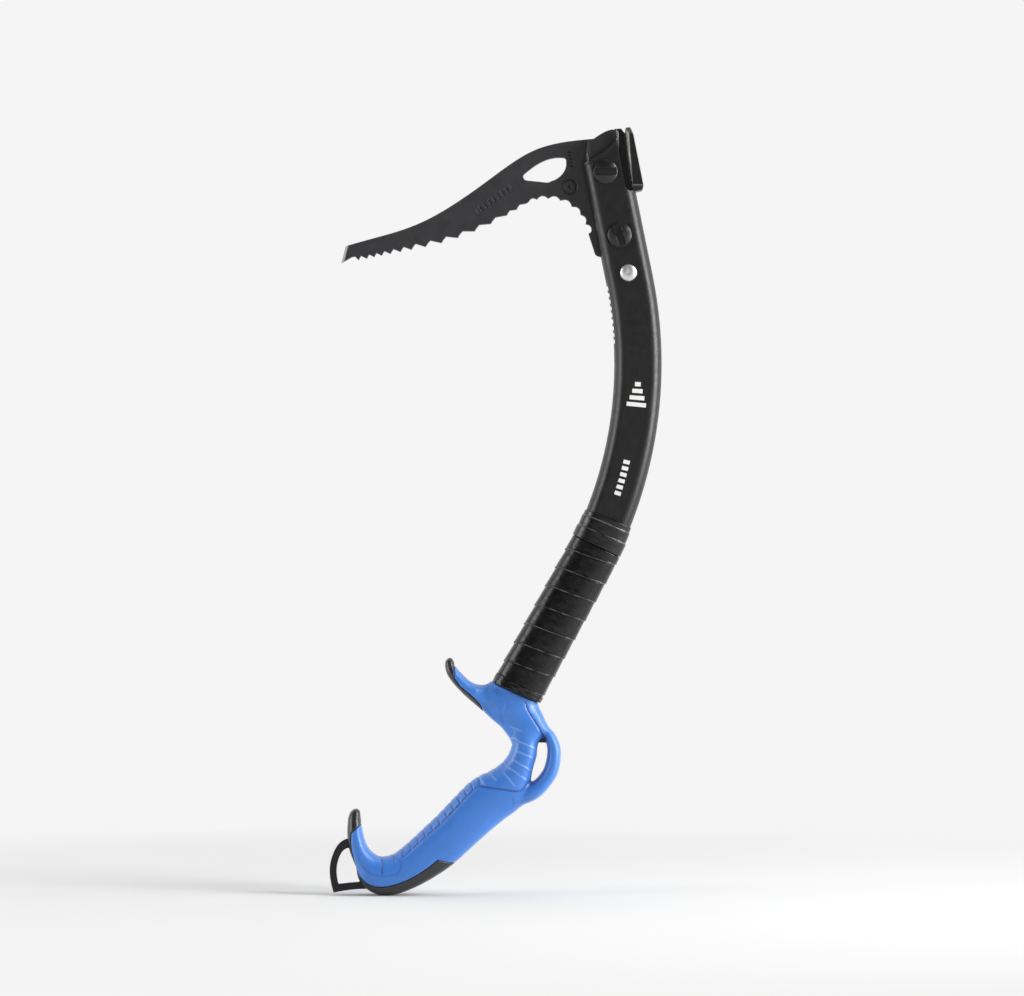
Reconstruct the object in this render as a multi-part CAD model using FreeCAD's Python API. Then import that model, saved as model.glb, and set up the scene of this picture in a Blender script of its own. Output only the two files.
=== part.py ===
"""Technical ice axe with a bent shaft, a bolted pick and hammer, and a two-finger-rest rubber grip.

Units are millimetres. The axe lies in the X-Z plane and is symmetric about Y = 0.
+Z points from the grip towards the head, the pick points to -X and the hammer to +X.
The origin is the centre of the palm section of the grip.
"""
import FreeCAD, Part
import math
import os

V = FreeCAD.Vector

# ---------------------------------------------------------------- shaft
SHAFT_R = 259.5                 # centreline radius of the bend
SHAFT_C = (-146.4, 289.1)       # centre of the bend
LEAN_LOW = 28.9                 # lean of the straight part over the grip, degrees
LEAN_TOP = 11.5                 # opposite lean of the straight part under the head
SHAFT_A = 14.7                  # half depth, front to rear
SHAFT_B = 10.5                  # half thickness, side to side
NOSE_AT = 9.4                   # where the elliptical front and rear edges start
PANEL_HALF = 7.4                # half width of the sunk flat side panels
PANEL_SINK = 0.6
PANEL_Y = SHAFT_B - PANEL_SINK  # outside of the side panels
LIP_RISE = 0.4                  # raised lip round the open end, over the section
LIP_DROP = (0.9, -2.1)          # from the rim to the lip's lower edge
LIP_FROM = 320.0                # a station safely below the lip
WALL = 1.8
SHAFT_TOP = 450.0               # rough height before the head is trimmed
SEAM_FRONT = (22.8, 91.5)       # front end of the seam between grip and shaft
SEAM_BACK = (51.2, 79.0)        # rear end of that seam

# ---------------------------------------------------------------- fasteners
UPPER_BOLT = (92.8, 407.5)
LOWER_BOLT = (101.5, 368.3)
RIVET = (107.0, 345.0)
BOLT_HEAD_R = 7.5
BOLT_HEAD_H = 3.4
BOLT_SHANK_R = 4.0
BOLT_HOLE_R = 4.3
NUT_SLEEVE_R = 5.6
NUT_BORE_R = 4.05               # running fit on the bolt, the thread itself is not cut
SLOT_W = 4.3
SLOT_D = 1.7
SEAT_GAP = 0.25
SPOT_FACE_R = 7.9               # flat seats of the bolt heads and nuts
RIVET_HEAD_R = 5.3
RIVET_SHANK_R = 3.0

# ---------------------------------------------------------------- plates and small gaps
PICK_HALF = 2.0                 # the pick is 4 mm steel
POINT_GROUND = -42.0            # the pick's point is ground thinner in front of this X
EAR_IN = 2.15                   # hammer ears stand on both sides of the pick
EAR_OUT = 4.7
NECK_HALF = 5.2                 # half width of the hammer's neck
FACE_HALF = 11.0                # half width of the hammer's face plate
HOOP_HALF = 1.5                 # the hoop at the pommel is 3 mm plate
GAP = 0.1                       # assembly gap between glued, moulded or bolted pieces
CHEEK_GAP = 0.25                # the head cheeks slide into the shaft with this gap
SPLIT_GAP = 0.2                 # line between the blue rubber and the black mouldings

# ---------------------------------------------------------------- tape
TAPE_PITCH = 13.2
TAPE_TILT = 12.0                # slope of the turns against the square section, degrees
TAPE_THIN = 1.05
TAPE_THICK = 1.55

# ---------------------------------------------------------------- grip
RUBBER_COVER = 4.6              # rubber over the core, front and rear
CORE_HALF = 7.0                 # half thickness of the core
SPIGOT = 42.0                   # length of the core inside the shaft
SECTION_POLES = 16              # control points of each rounded section
POLE_GAIN = 1.02                # puts the curve on the section's size, as its poles lie outside it


# ================================================================ helpers
def p3(point, y=0.0):
    """A point of the X-Z plane at a given Y."""
    return V(point[0], y, point[1])


def curve(points):
    """Smooth open curve through points of the X-Z plane."""
    spline = Part.BSplineCurve()
    spline.interpolate([p3(q) for q in points])
    return spline.toShape()


def outline(*pieces):
    """Closed wire from runs of points: a list is a smooth curve, a tuple of points a polyline."""
    edges = []
    last = None
    first = None
    for piece in pieces:
        if first is None:
            first = piece[0]
        if last is not None and (p3(last) - p3(piece[0])).Length > 1e-6:
            edges.append(Part.makeLine(p3(last), p3(piece[0])))
        if isinstance(piece, list) and len(piece) > 2:
            edges.append(curve(piece))
        else:
            for a, b in zip(piece[:-1], piece[1:]):
                edges.append(Part.makeLine(p3(a), p3(b)))
        last = piece[-1]
    if (p3(last) - p3(first)).Length > 1e-6:
        edges.append(Part.makeLine(p3(last), p3(first)))
    return Part.Wire(edges)


def slab(wire, y0, y1):
    """Plate with the given outline between two Y values."""
    face = Part.Face(wire)
    face.translate(V(0, y0, 0))
    return face.extrude(V(0, y1 - y0, 0))


def both_sides(wire, inner, outer):
    """The same plate on both sides of the middle plane."""
    return slab(wire, inner, outer).fuse(slab(wire, -outer, -inner))


def cross_rod(at, radius, y0, y1):
    """Cylinder across the axe."""
    return Part.makeCylinder(radius, y1 - y0, p3(at, y0), V(0, 1, 0))


def save(name, shape):
    """Write one node."""
    shape = shape.removeSplitter() if shape.ShapeType != "Solid" else shape
    if len(shape.Solids) == 1:
        shape = shape.Solids[0]
    shape.exportStep("parts/" + name + ".step")
    box = shape.BoundBox
    print(name, "solids", len(shape.Solids), "valid", shape.isValid(),
          "volume", round(shape.Volume / 1000, 2),
          "box", [round(v, 1) for v in (box.XMin, box.XMax, box.YMin, box.YMax, box.ZMin, box.ZMax)])


# ================================================================ shaft geometry
def on_bend(angle):
    """Point of the bend's centreline at an angle above the horizontal."""
    turn = math.radians(angle)
    return (SHAFT_C[0] + SHAFT_R * math.cos(turn), SHAFT_C[1] + SHAFT_R * math.sin(turn))


BEND_LOW = on_bend(-LEAN_LOW)
BEND_TOP = on_bend(LEAN_TOP)
LOW_DIR = (math.sin(math.radians(LEAN_LOW)), math.cos(math.radians(LEAN_LOW)))
TOP_DIR = (-math.sin(math.radians(LEAN_TOP)), math.cos(math.radians(LEAN_TOP)))
LOW_RUN = 104.0                 # straight centreline below the bend
BEND_RUN = SHAFT_R * math.radians(LEAN_LOW + LEAN_TOP)
TOP_RUN = (SHAFT_TOP - BEND_TOP[1]) / TOP_DIR[1]
SHAFT_START = (BEND_LOW[0] - LOW_RUN * LOW_DIR[0], BEND_LOW[1] - LOW_RUN * LOW_DIR[1])


def station(s):
    """Centre point and upward direction of the shaft at a distance s along its centreline."""
    if s < LOW_RUN:
        return ((SHAFT_START[0] + s * LOW_DIR[0], SHAFT_START[1] + s * LOW_DIR[1]), LOW_DIR)
    if s < LOW_RUN + BEND_RUN:
        angle = -LEAN_LOW + math.degrees((s - LOW_RUN) / SHAFT_R)
        turn = math.radians(angle)
        return (on_bend(angle), (-math.sin(turn), math.cos(turn)))
    more = s - LOW_RUN - BEND_RUN
    return ((BEND_TOP[0] + more * TOP_DIR[0], BEND_TOP[1] + more * TOP_DIR[1]), TOP_DIR)


def spine(s0, s1):
    """Centreline wire between two stations."""
    a = station(s0)[0]
    b = station(s1)[0]
    joint_low = LOW_RUN
    joint_top = LOW_RUN + BEND_RUN
    edges = []
    if s0 < joint_low:
        end = min(s1, joint_low)
        edges.append(Part.makeLine(p3(a), p3(station(end)[0])))
    bend0 = max(s0, joint_low)
    bend1 = min(s1, joint_top)
    if bend1 > bend0:
        mid = station((bend0 + bend1) / 2)[0]
        arc = Part.Arc(p3(station(bend0)[0]), p3(mid), p3(station(bend1)[0]))
        edges.append(arc.toShape())
    if s1 > joint_top:
        edges.append(Part.makeLine(p3(station(max(s0, joint_top))[0]), p3(b)))
    return Part.Wire(edges)


def ring(s, grow, sunk=True, tilt=0.0):
    """Shaft section at station s, grown by a margin; sunk keeps the flat side panels recessed."""
    centre, up = station(s)
    turn = math.radians(tilt)
    across = V(up[1], 0, -up[0])
    along = V(up[0], 0, up[1])
    depth_axis = (across * math.cos(turn) + along * math.sin(turn)) * (1.0 / math.cos(turn))
    side_axis = V(0, 1, 0)
    origin = p3(centre)

    def at(n, y):
        return origin + depth_axis * n + side_axis * y

    a = SHAFT_A + grow
    b = SHAFT_B + grow
    flat = b - (PANEL_SINK if sunk else 0.0)
    edges = []
    for side in (1, -1):
        nose = Part.Ellipse(at(side * NOSE_AT, side * b), at(side * a, 0.0), at(side * NOSE_AT, 0.0))
        edges.append(Part.ArcOfEllipse(nose, 0.0, math.pi).toShape())
        low = at(side * NOSE_AT, -side * b)
        if sunk:
            step = at(side * PANEL_HALF, -side * flat)
            far = at(-side * PANEL_HALF, -side * flat)
            edges.append(Part.makeLine(low, step))
            edges.append(Part.makeLine(step, far))
            edges.append(Part.makeLine(far, at(-side * NOSE_AT, -side * b)))
        else:
            edges.append(Part.makeLine(low, at(-side * NOSE_AT, -side * b)))
    return Part.Wire(edges)


def shaft_solid(s0, s1, grow, sunk=True):
    """Solid with the shaft's section between two stations, swept upright in the X-Z plane."""
    sweep = Part.BRepOffsetAPI.MakePipeShell(spine(s0, s1))
    sweep.setBiNormalMode(V(0, 1, 0))
    sweep.add(ring(s0, grow, sunk))
    sweep.build()
    sweep.makeSolid()
    return sweep.shape()


# ================================================================ grip geometry
def section(front, back, half, power=2.6):
    """Closed rounded curve that spans front to back in the X-Z plane and +-half in Y."""
    f = p3(front)
    b = p3(back)
    centre = (f + b) * 0.5
    reach = (f - b) * 0.5
    poles = []
    for k in range(SECTION_POLES):
        t = 2 * math.pi * k / SECTION_POLES
        c = math.cos(t)
        s = math.sin(t)
        u = POLE_GAIN * math.copysign(abs(c) ** (2 / power), c)
        w = POLE_GAIN * math.copysign(abs(s) ** (2 / power), s)
        poles.append(centre + reach * u + V(0, half * w, 0))
    ring_curve = Part.BSplineCurve()
    ring_curve.buildFromPoles(poles, True, 3)
    return ring_curve


def inset(front, back, amount):
    """Move both ends of a section towards each other."""
    f = p3(front)
    b = p3(back)
    step = (b - f).normalize() * amount
    f2 = f + step
    b2 = b - step
    return ((f2.x, f2.z), (b2.x, b2.z))


def limb(stations, power=2.6, cover=0.0, half=None):
    """Smooth solid skinned over (front, back, half thickness) stations, optionally inset to a core."""
    rows = []
    middles = []
    for front, back, thick in stations:
        if cover:
            front, back = inset(front, back, cover)
        rows.append(section(front, back, half if half else thick, power))
        middles.append((p3(front) + p3(back)) * 0.5)
    spread = [0.0]
    for a, b in zip(middles[:-1], middles[1:]):
        spread.append(spread[-1] + math.sqrt((b - a).Length))
    rails = []
    for k in range(SECTION_POLES):
        rail = Part.BSplineCurve()
        rail.interpolate(Points=[row.getPole(k + 1) for row in rows], Parameters=spread)
        rails.append(rail)
    skin_surface = Part.BSplineSurface()
    skin_surface.buildFromPolesMultsKnots(
        [rail.getPoles() for rail in rails], rows[0].getMultiplicities(), rails[0].getMultiplicities(),
        rows[0].getKnots(), rails[0].getKnots(), True, False, 3, 3)
    side = skin_surface.toShape()
    caps = [Part.Face(Part.Wire([edge])).reversed() for edge in side.Edges if edge.isClosed()]
    solid = Part.makeSolid(Part.makeShell([side] + caps))
    if solid.Volume < 0:
        solid.reverse()
    return solid


# front edge, rear edge and half thickness from the shaft's seam down the neck,
# along the palm and round the hook to the pommel's tip
GRIP = [
    ((22.8, 91.5), (51.2, 79.0), 12.3),
    ((22.6, 82.0), (52.0, 75.5), 12.2),
    ((22.4, 71.0), (55.0, 68.5), 12.1),
    ((29.6, 62.2), (56.4, 60.8), 12.2),
    ((34.6, 54.2), (51.4, 53.8), 12.4),
    ((32.9, 47.4), (50.3, 46.0), 12.6),
    ((28.7, 41.7), (48.0, 37.8), 12.8),
    ((21.8, 36.9), (45.8, 27.4), 13.0),
    ((15.3, 33.9), (40.6, 15.0), 13.0),
    ((8.4, 29.4), (30.2, 6.6), 13.0),
    ((-0.3, 20.8), (19.6, -2.2), 13.0),
    ((-10.6, 10.0), (8.6, -12.2), 13.0),
    ((-20.5, 0.6), (-2.0, -21.6), 13.0),
    ((-29.8, -8.1), (-14.2, -29.8), 12.9),
    ((-37.6, -14.2), (-27.0, -36.4), 12.7),
    ((-42.8, -16.2), (-38.2, -40.1), 12.5),
    ((-47.4, -16.2), (-48.4, -39.9), 12.2),
    ((-51.2, -14.0), (-56.6, -35.2), 11.9),
    ((-53.0, -12.2), (-60.5, -29.5), 11.6),
    ((-54.6, -10.0), (-61.6, -23.4), 11.3),
    ((-56.6, -5.0), (-65.6, -13.2), 10.8),
    ((-57.8, 0.4), (-67.0, -4.0), 10.3),
    ((-58.5, 5.0), (-67.0, 2.8), 9.6),
    ((-59.0, 9.4), (-66.3, 8.4), 8.4),
    ((-59.5, 12.2), (-64.8, 11.6), 6.0),
    ((-61.0, 13.3), (-63.0, 13.0), 2.6),
]

# upper finger rest, from inside the neck out to its tip: upper edge, lower edge
TRIGGER = [
    ((33.0, 85.0), (29.0, 66.5), 10.2),
    ((23.4, 91.2), (20.4, 71.0), 10.8),
    ((17.0, 89.9), (12.4, 77.6), 10.6),
    ((11.0, 91.0), (5.8, 83.3), 10.2),
    ((6.6, 94.2), (0.9, 88.3), 9.8),
    ((3.0, 97.9), (-2.8, 92.7), 9.4),
    ((0.1, 101.3), (-5.4, 97.0), 9.0),
    ((-1.1, 104.4), (-6.5, 101.6), 8.2),
    ((-2.0, 106.2), (-6.2, 104.8), 6.0),
    ((-3.2, 106.9), (-4.8, 106.4), 2.6),
]

# strap behind the neck that closes the window: window edge, outer edge
STRAP = [
    ((46.0, 72.5), (51.4, 75.0), 8.6),
    ((50.4, 63.8), (56.6, 66.2), 9.6),
    ((55.2, 56.8), (61.6, 59.6), 10.2),
    ((56.8, 50.4), (65.0, 51.4), 10.6),
    ((56.3, 44.0), (65.1, 43.2), 10.8),
    ((54.6, 38.0), (63.2, 34.8), 10.9),
    ((51.6, 33.6), (58.6, 27.2), 11.0),
    ((47.6, 29.8), (51.8, 20.2), 11.2),
    ((41.0, 26.0), (43.6, 16.2), 10.8),
]

# edge of the black pommel shell, drawn from the hook's inner side round to the back
SHELL_EDGE_TOP = ((-52.0, 7.0), (-58.6, 4.0), (-64.4, -1.8))
SHELL_EDGE = [
    (-64.4, -1.8), (-64.5, -9.0), (-61.6, -22.0), (-58.6, -28.6), (-52.0, -33.6),
    (-43.0, -34.3), (-30.0, -30.4), (-19.0, -24.0), (-11.0, -17.8),
]
SHELL_EDGE_END = ((-11.0, -17.8), (-5.0, -19.4), (4.0, -20.6))

# edge of the black insert under the upper finger rest
INSERT_EDGE = ((4.0, 103.2), (-0.6, 103.2), (-1.4, 98.0), (-2.0, 92.6), (2.0, 87.8), (8.0, 84.4),
               (13.0, 81.2), (15.6, 79.4), (18.8, 72.6))


def grip_regions():
    """Plates that bound the black pommel shell and the black insert."""
    shell = outline(SHELL_EDGE_TOP, SHELL_EDGE, SHELL_EDGE_END,
                    (SHELL_EDGE_END[-1], (4.0, -60.0), (-90.0, -60.0), (-90.0, 30.0), (-52.0, 30.0)))
    insert = outline(INSERT_EDGE, ((18.8, 72.6), (10.0, 60.0), (-30.0, 80.0), (-30.0, 120.0), (4.0, 120.0)))
    return (slab(shell, -30, 30), slab(insert, -30, 30))


# ================================================================ head outlines
PICK_TIP = (-70.8, 351.3)
SPINE_START = (-68.0, 361.9)
TOOTH_X = (-60.0, -54.8, -50.2, -45.6, -40.2, -34.0, -27.2, -18.4, -8.6, 1.5, 12.0, 22.0, 32.0, 38.0, 44.0)


def tooth_line(x):
    """Height of the line through the teeth's points."""
    run = x - TOOTH_X[0]
    return 353.0 + 0.2 * run + 0.00354 * max(0.0, run - 40.0) ** 2


def pick_profile():
    """Outline of the pick: spine, head end, tang, scallops and saw teeth."""
    spine_edge = [SPINE_START, (-50.0, 367.0), (-30.0, 373.0), (-15.0, 379.6), (0.0, 388.5), (20.0, 402.5),
                  (35.0, 413.4), (50.0, 421.8), (62.0, 425.4), (74.0, 427.3), (85.5, 428.4)]
    rise = [(85.5, 428.4), (90.0, 431.4), (94.0, 433.4), (97.8, 434.3)]
    rear = ((97.8, 434.3), (103.7, 396.4), (108.4, 372.0), (109.4, 362.0), (107.6, 354.0), (100.0, 352.4),
            (91.5, 354.6), (87.4, 355.8), (86.4, 357.0), (82.3, 369.6), (84.0, 370.6))
    pieces = [spine_edge, rise, rear]
    # scallops between the shaft and the last saw tooth, with a small point between each pair
    points = ((84.0, 370.6), (80.4, 375.4), (77.4, 381.3), (72.0, 386.2), (65.0, 390.0), (57.5, 391.2),
              (50.4, 390.6), (45.5, 389.4))
    for a, b in zip(points[:-1], points[1:]):
        mid = ((a[0] + b[0]) / 2, (a[1] + b[1]) / 2)
        run = math.hypot(b[0] - a[0], b[1] - a[1])
        deep = 0.29 * run
        out = ((b[1] - a[1]) / run * deep, -(b[0] - a[0]) / run * deep)
        pieces.append([a, (mid[0] + out[0], mid[1] + out[1]), b])
    # saw teeth: a long slope down to each point and a steep back behind it
    pieces.append(((45.5, 389.4), (44.0, tooth_line(44.0))))
    for k in range(len(TOOTH_X) - 1, 0, -1):
        x = TOOTH_X[k]
        gap = x - TOOTH_X[k - 1]
        root = (TOOTH_X[k - 1] + 0.28 * gap, tooth_line(TOOTH_X[k - 1]) + 1.4 + 0.26 * gap)
        steep = (TOOTH_X[k - 1] + 0.09 * gap, tooth_line(TOOTH_X[k - 1]) + 0.7 + 0.1 * gap)
        pieces.append(((x, tooth_line(x)), root, steep, (TOOTH_X[k - 1], tooth_line(TOOTH_X[k - 1]))))
    pieces.append(((TOOTH_X[0], tooth_line(TOOTH_X[0])), (-62.3, 355.4), (-64.2, 355.0), PICK_TIP))
    return outline(*pieces)


def eye_profile():
    """Clip-in eye of the pick."""
    return outline([(42.6, 406.4), (42.0, 405.0), (42.5, 403.6), (44.0, 402.6)],
                   [(44.0, 402.6), (50.0, 402.0), (56.6, 401.3)],
                   [(56.6, 401.3), (58.0, 401.5), (59.4, 402.2)],
                   [(59.4, 402.2), (66.0, 406.4), (67.9, 409.6), (68.5, 414.4)],
                   [(68.5, 414.4), (68.2, 415.8), (67.0, 416.5)],
                   [(67.0, 416.5), (59.0, 416.0), (53.5, 414.0), (48.5, 411.0), (42.6, 406.4)])


FACE_TOP = (110.1, 430.5)       # flat striking face of the hammer, upper and lower end
FACE_LOW = (116.3, 399.2)
HAMMER_PLATE = ((105.0, 430.5), (105.3, 435.0), (108.2, 435.2), FACE_TOP, FACE_LOW, (115.9, 396.4),
                (110.8, 395.2), (109.4, 397.8), (107.2, 412.0))
HAMMER_NECK = ((98.4, 434.3), (102.6, 434.6), (104.0, 432.6), (106.0, 430.5), (108.2, 412.0),
               (110.4, 398.0), (110.0, 396.4), (104.3, 396.4))
HAMMER_EAR = ((98.8, 431.5), (91.2, 414.5), (92.2, 400.2), (104.0, 398.6))

# side line of the shaft's open end: the rim falls from the rear to the front
RIM = [(79.0, 412.8), (84.0, 415.4), (90.0, 419.4), (95.6, 423.8), (98.2, 427.4), (99.0, 431.8)]
REAR_CUT = ((101.0, 433.0), (101.2, 420.0), (103.4, 408.0), (105.2, 398.4), (107.2, 395.9), (114.0, 394.4))

os.makedirs("parts", exist_ok=True)

# ================================================================ shaft
TOTAL_RUN = LOW_RUN + BEND_RUN + TOP_RUN
seam_dir = (p3(SEAM_BACK) - p3(SEAM_FRONT)).normalize()
seam_up = V(-seam_dir.z, 0, seam_dir.x)
seam_lift = seam_up * 0.15
seam_a = p3(SEAM_FRONT) - seam_dir * 40 + seam_lift
seam_b = p3(SEAM_BACK) + seam_dir * 40 + seam_lift


def beyond_seam(way):
    """Block above (1) or below (-1) the seam between grip and shaft."""
    reach = seam_up * (80 * way)
    return slab(Part.makePolygon([seam_a, seam_b, seam_b + reach, seam_a + reach, seam_a]), -40, 40)


below_seam = beyond_seam(-1)
above_seam = beyond_seam(1)

over_rim = slab(outline(RIM, ((99.0, 445.0), (60.0, 445.0), (60.0, 405.0))), -30, 30)
behind_head = slab(outline(REAR_CUT, ((130.0, 394.0), (130.0, 470.0), (101.0, 470.0))), -30, 30)
over_top = slab(outline(((60.0, 432.4), (130.0, 432.4), (130.0, 480.0), (40.0, 480.0))), -30, 30)

outer = shaft_solid(0.0, TOTAL_RUN, 0.0)
inner = shaft_solid(0.0, TOTAL_RUN, -WALL)
bore = shaft_solid(0.0, TOTAL_RUN, -WALL - CHEEK_GAP)
pick_slot = slab(outline(((60.0, 354.8), (95.0, 352.0), (95.0, 440.0), (60.0, 440.0))),
                 -PICK_HALF - 0.2, PICK_HALF + 0.2)
# raised lip that follows the open end
lip_foot = [(q[0] + LIP_DROP[0], q[1] + LIP_DROP[1]) for q in reversed(RIM)]
lip_band = slab(outline(RIM, lip_foot), -30, 30)
lip = shaft_solid(LIP_FROM, TOTAL_RUN, LIP_RISE, False).common(lip_band)
tube = outer.fuse(lip).cut(inner).cut(below_seam)
tube = tube.cut(over_rim).cut(behind_head).cut(over_top).cut(pick_slot)
for bolt in (UPPER_BOLT, LOWER_BOLT):
    tube = tube.cut(cross_rod(bolt, BOLT_HOLE_R, -20, 0))
    tube = tube.cut(cross_rod(bolt, NUT_SLEEVE_R + GAP, 0, 20))
    tube = tube.cut(cross_rod(bolt, SPOT_FACE_R, PANEL_Y, 20))
    tube = tube.cut(cross_rod(bolt, SPOT_FACE_R, -20, -PANEL_Y))
tube = tube.cut(cross_rod(RIVET, RIVET_SHANK_R + 0.05, -20, 20))

# two cross pins hold the core's spigot
PINS = [station(s)[0] for s in (34.0, 50.0)]
for pin in PINS:
    tube = tube.cut(cross_rod(pin, 2.05, -20, 20))
save("shaft_tube", tube)

# ================================================================ pick
pick_wire = pick_profile()
pick = slab(pick_wire, -PICK_HALF, PICK_HALF).cut(slab(eye_profile(), -5, 5))
for bolt in (UPPER_BOLT, LOWER_BOLT):
    pick = pick.cut(cross_rod(bolt, BOLT_HOLE_R, -5, 5))
# the point is ground thinner towards the tip on both sides
for side in (1, -1):
    wedge = Part.makePolygon([V(-90.0, side * 1.1, 340.0), V(POINT_GROUND, side * PICK_HALF, 340.0),
                              V(POINT_GROUND, side * 10.0, 340.0), V(-90.0, side * 10.0, 340.0),
                              V(-90.0, side * 1.1, 340.0)])
    pick = pick.cut(Part.Face(wedge).extrude(V(0, 0, 40)))
# and its front edge has a narrow chisel facet on both sides
edge_up = (p3(SPINE_START) - p3(PICK_TIP)).normalize()
edge_back = V(edge_up.z, 0, -edge_up.x)
facet_corners = ((-1.0, -0.3), (1.8, 1.8), (1.8, 5.0), (-1.0, 5.0), (-1.0, -0.3))
for side in (1, -1):
    facet = Part.makePolygon([p3(PICK_TIP) - edge_up * 4 + edge_back * run + V(0, side * y, 0)
                              for run, y in facet_corners])
    pick = pick.cut(Part.Face(facet).extrude(edge_up * 20))
save("pick", pick)

# ================================================================ hammer
neck = slab(outline(HAMMER_NECK), -NECK_HALF, NECK_HALF)
plate = slab(outline(HAMMER_PLATE), -FACE_HALF, FACE_HALF)
ear_wire = outline(HAMMER_EAR)
ears = both_sides(ear_wire, EAR_IN, EAR_OUT)
for side in (-1, 1):
    y0 = EAR_IN if side > 0 else -EAR_OUT
    ears = ears.fuse(cross_rod(UPPER_BOLT, 7.2, y0, y0 + EAR_OUT - EAR_IN))
hammer = plate.fuse(neck).fuse(ears)
hammer = hammer.cut(cross_rod(UPPER_BOLT, BOLT_HOLE_R, -20, 20))
# corners of the face plate are taken off
for side in (-1, 1):
    for corner in (FACE_TOP, FACE_LOW):
        block = Part.makeBox(40, 6, 6)
        block.translate(V(-20, -3, -3))
        block.rotate(V(0, 0, 0), V(1, 0, 0), 45)
        rise = 4.9 if corner is FACE_TOP else -3.6
        block.translate(V(corner[0], side * (FACE_HALF + 0.6), corner[1] + rise))
        hammer = hammer.cut(block)
# the plate's inner corners are bevelled, more at the top than at the foot
bevel_corners = ((105.8, FACE_HALF - 4.0), (110.8, FACE_HALF + 1.0), (105.8, FACE_HALF + 1.0))
bevel_wire = Part.makePolygon([V(x, y, 395.0) for x, y in bevel_corners + bevel_corners[:1]])
bevel = Part.Face(bevel_wire).extrude(V(-3.1, 0, 42.0))
hammer = hammer.cut(bevel).cut(bevel.mirror(V(0, 0, 0), V(0, 1, 0)))
save("hammer", hammer)

# ================================================================ cheeks on both sides of the pick
cheek_field = outline([(85.5, 427.6), (90.0, 430.6), (94.0, 432.7), (98.0, 433.6)],
                      ((100.6, 433.6), (101.0, 420.0), (103.2, 408.0), (105.0, 398.0), (107.0, 395.6),
                       (112.0, 394.4), (125.0, 394.0), (125.0, 334.0), (80.0, 334.0), (70.0, 400.0),
                       (80.6, 411.0), (81.6, 427.0)))
grown_neck = slab(outline(HAMMER_NECK).makeOffset2D(GAP), -NECK_HALF - GAP, NECK_HALF + GAP)
grown_ear = slab(ear_wire.makeOffset2D(GAP), -EAR_OUT - GAP, EAR_OUT + GAP)
grown_eye = cross_rod(UPPER_BOLT, 7.2 + GAP, -EAR_OUT - GAP, EAR_OUT + GAP)
cheek_far = bore.common(slab(cheek_field, EAR_IN, 20)).cut(grown_neck).cut(grown_ear).cut(grown_eye)
cheek_near = cheek_far.mirror(V(0, 0, 0), V(0, 1, 0))
for name, cheek, hole in (("near", cheek_near, BOLT_HOLE_R), ("far", cheek_far, NUT_SLEEVE_R + GAP)):
    for bolt in (UPPER_BOLT, LOWER_BOLT):
        cheek = cheek.cut(cross_rod(bolt, hole, -20, 20))
    cheek = cheek.cut(cross_rod(RIVET, RIVET_SHANK_R + 0.05, -20, 20))
    save("head_cheek_" + name, cheek)

# ================================================================ bolts, nuts and rivet


def dome(at, radius, height, base_y, side):
    """Domed round head that stands on the panel and bulges to one side."""
    ball_r = (radius ** 2 + (0.62 * height) ** 2) / (2 * 0.62 * height)
    rim_h = 0.38 * height
    start = base_y if side > 0 else base_y - height
    body = cross_rod(at, radius, start, start + height)
    centre_y = base_y + side * (rim_h + 0.62 * height - ball_r)
    return body.common(Part.makeSphere(ball_r, p3(at, centre_y)))


for name, at, lean in (("upper", UPPER_BOLT, 0.0), ("lower", LOWER_BOLT, 90.0 - LEAN_TOP - 5.0)):
    seat = -(PANEL_Y + SEAT_GAP)
    head = dome(at, BOLT_HEAD_R, BOLT_HEAD_H, seat, -1)
    shank = cross_rod(at, BOLT_SHANK_R, seat - 0.5, 8.4)
    bolt_solid = head.fuse(shank)
    slot = Part.makeBox(40, 6, SLOT_W, V(at[0] - 20, seat - BOLT_HEAD_H - 6 + SLOT_D, at[1] - SLOT_W / 2))
    slot.rotate(p3(at), V(0, 1, 0), lean)
    save(name + "_pick_bolt", bolt_solid.cut(slot))
    # flanged nut: a thin domed flange outside the far wall and a sleeve that the bolt screws into
    flange = dome(at, BOLT_HEAD_R, 2.6, PANEL_Y + GAP, 1)
    sleeve = cross_rod(at, NUT_SLEEVE_R, EAR_OUT + 0.3, PANEL_Y + 0.6)
    nut = flange.fuse(sleeve).cut(cross_rod(at, NUT_BORE_R, 0, 9.6))
    for turn in (0, 90):
        grip_slot = Part.makeBox(3.0, 6, 1.8, V(at[0] + 5.2, PANEL_Y + 1.4, at[1] - 0.9))
        grip_slot.rotate(p3(at), V(0, 1, 0), turn)
        mirror = grip_slot.copy()
        mirror.rotate(p3(at), V(0, 1, 0), 180)
        nut = nut.cut(grip_slot).cut(mirror)
    save(name + "_pick_nut", nut)

rivet = cross_rod(RIVET, RIVET_SHANK_R, -PANEL_Y - 0.6, PANEL_Y + 0.6)
for side in (-1, 1):
    rivet = rivet.fuse(dome(RIVET, RIVET_HEAD_R, 2.6, side * (PANEL_Y + 0.05), side))
save("head_rivet", rivet)

# ================================================================ tape on the lower shaft
skin = shaft_solid(0.0, TOTAL_RUN, 0.05, False)
TAPE_END = 117.8                # station where the wrap runs under the finishing band
BAND_END = 136.5                # station of the finishing band's upper edge
TURNS = 9


def turn_solid(s0, s1, grow0, grow1):
    """One tapering turn of tape between two sloping sections."""
    low = ring(s0, grow0, False, TAPE_TILT)
    high = ring(s1, grow1, False, TAPE_TILT)
    return Part.makeLoft([low, high], True, True)


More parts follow.
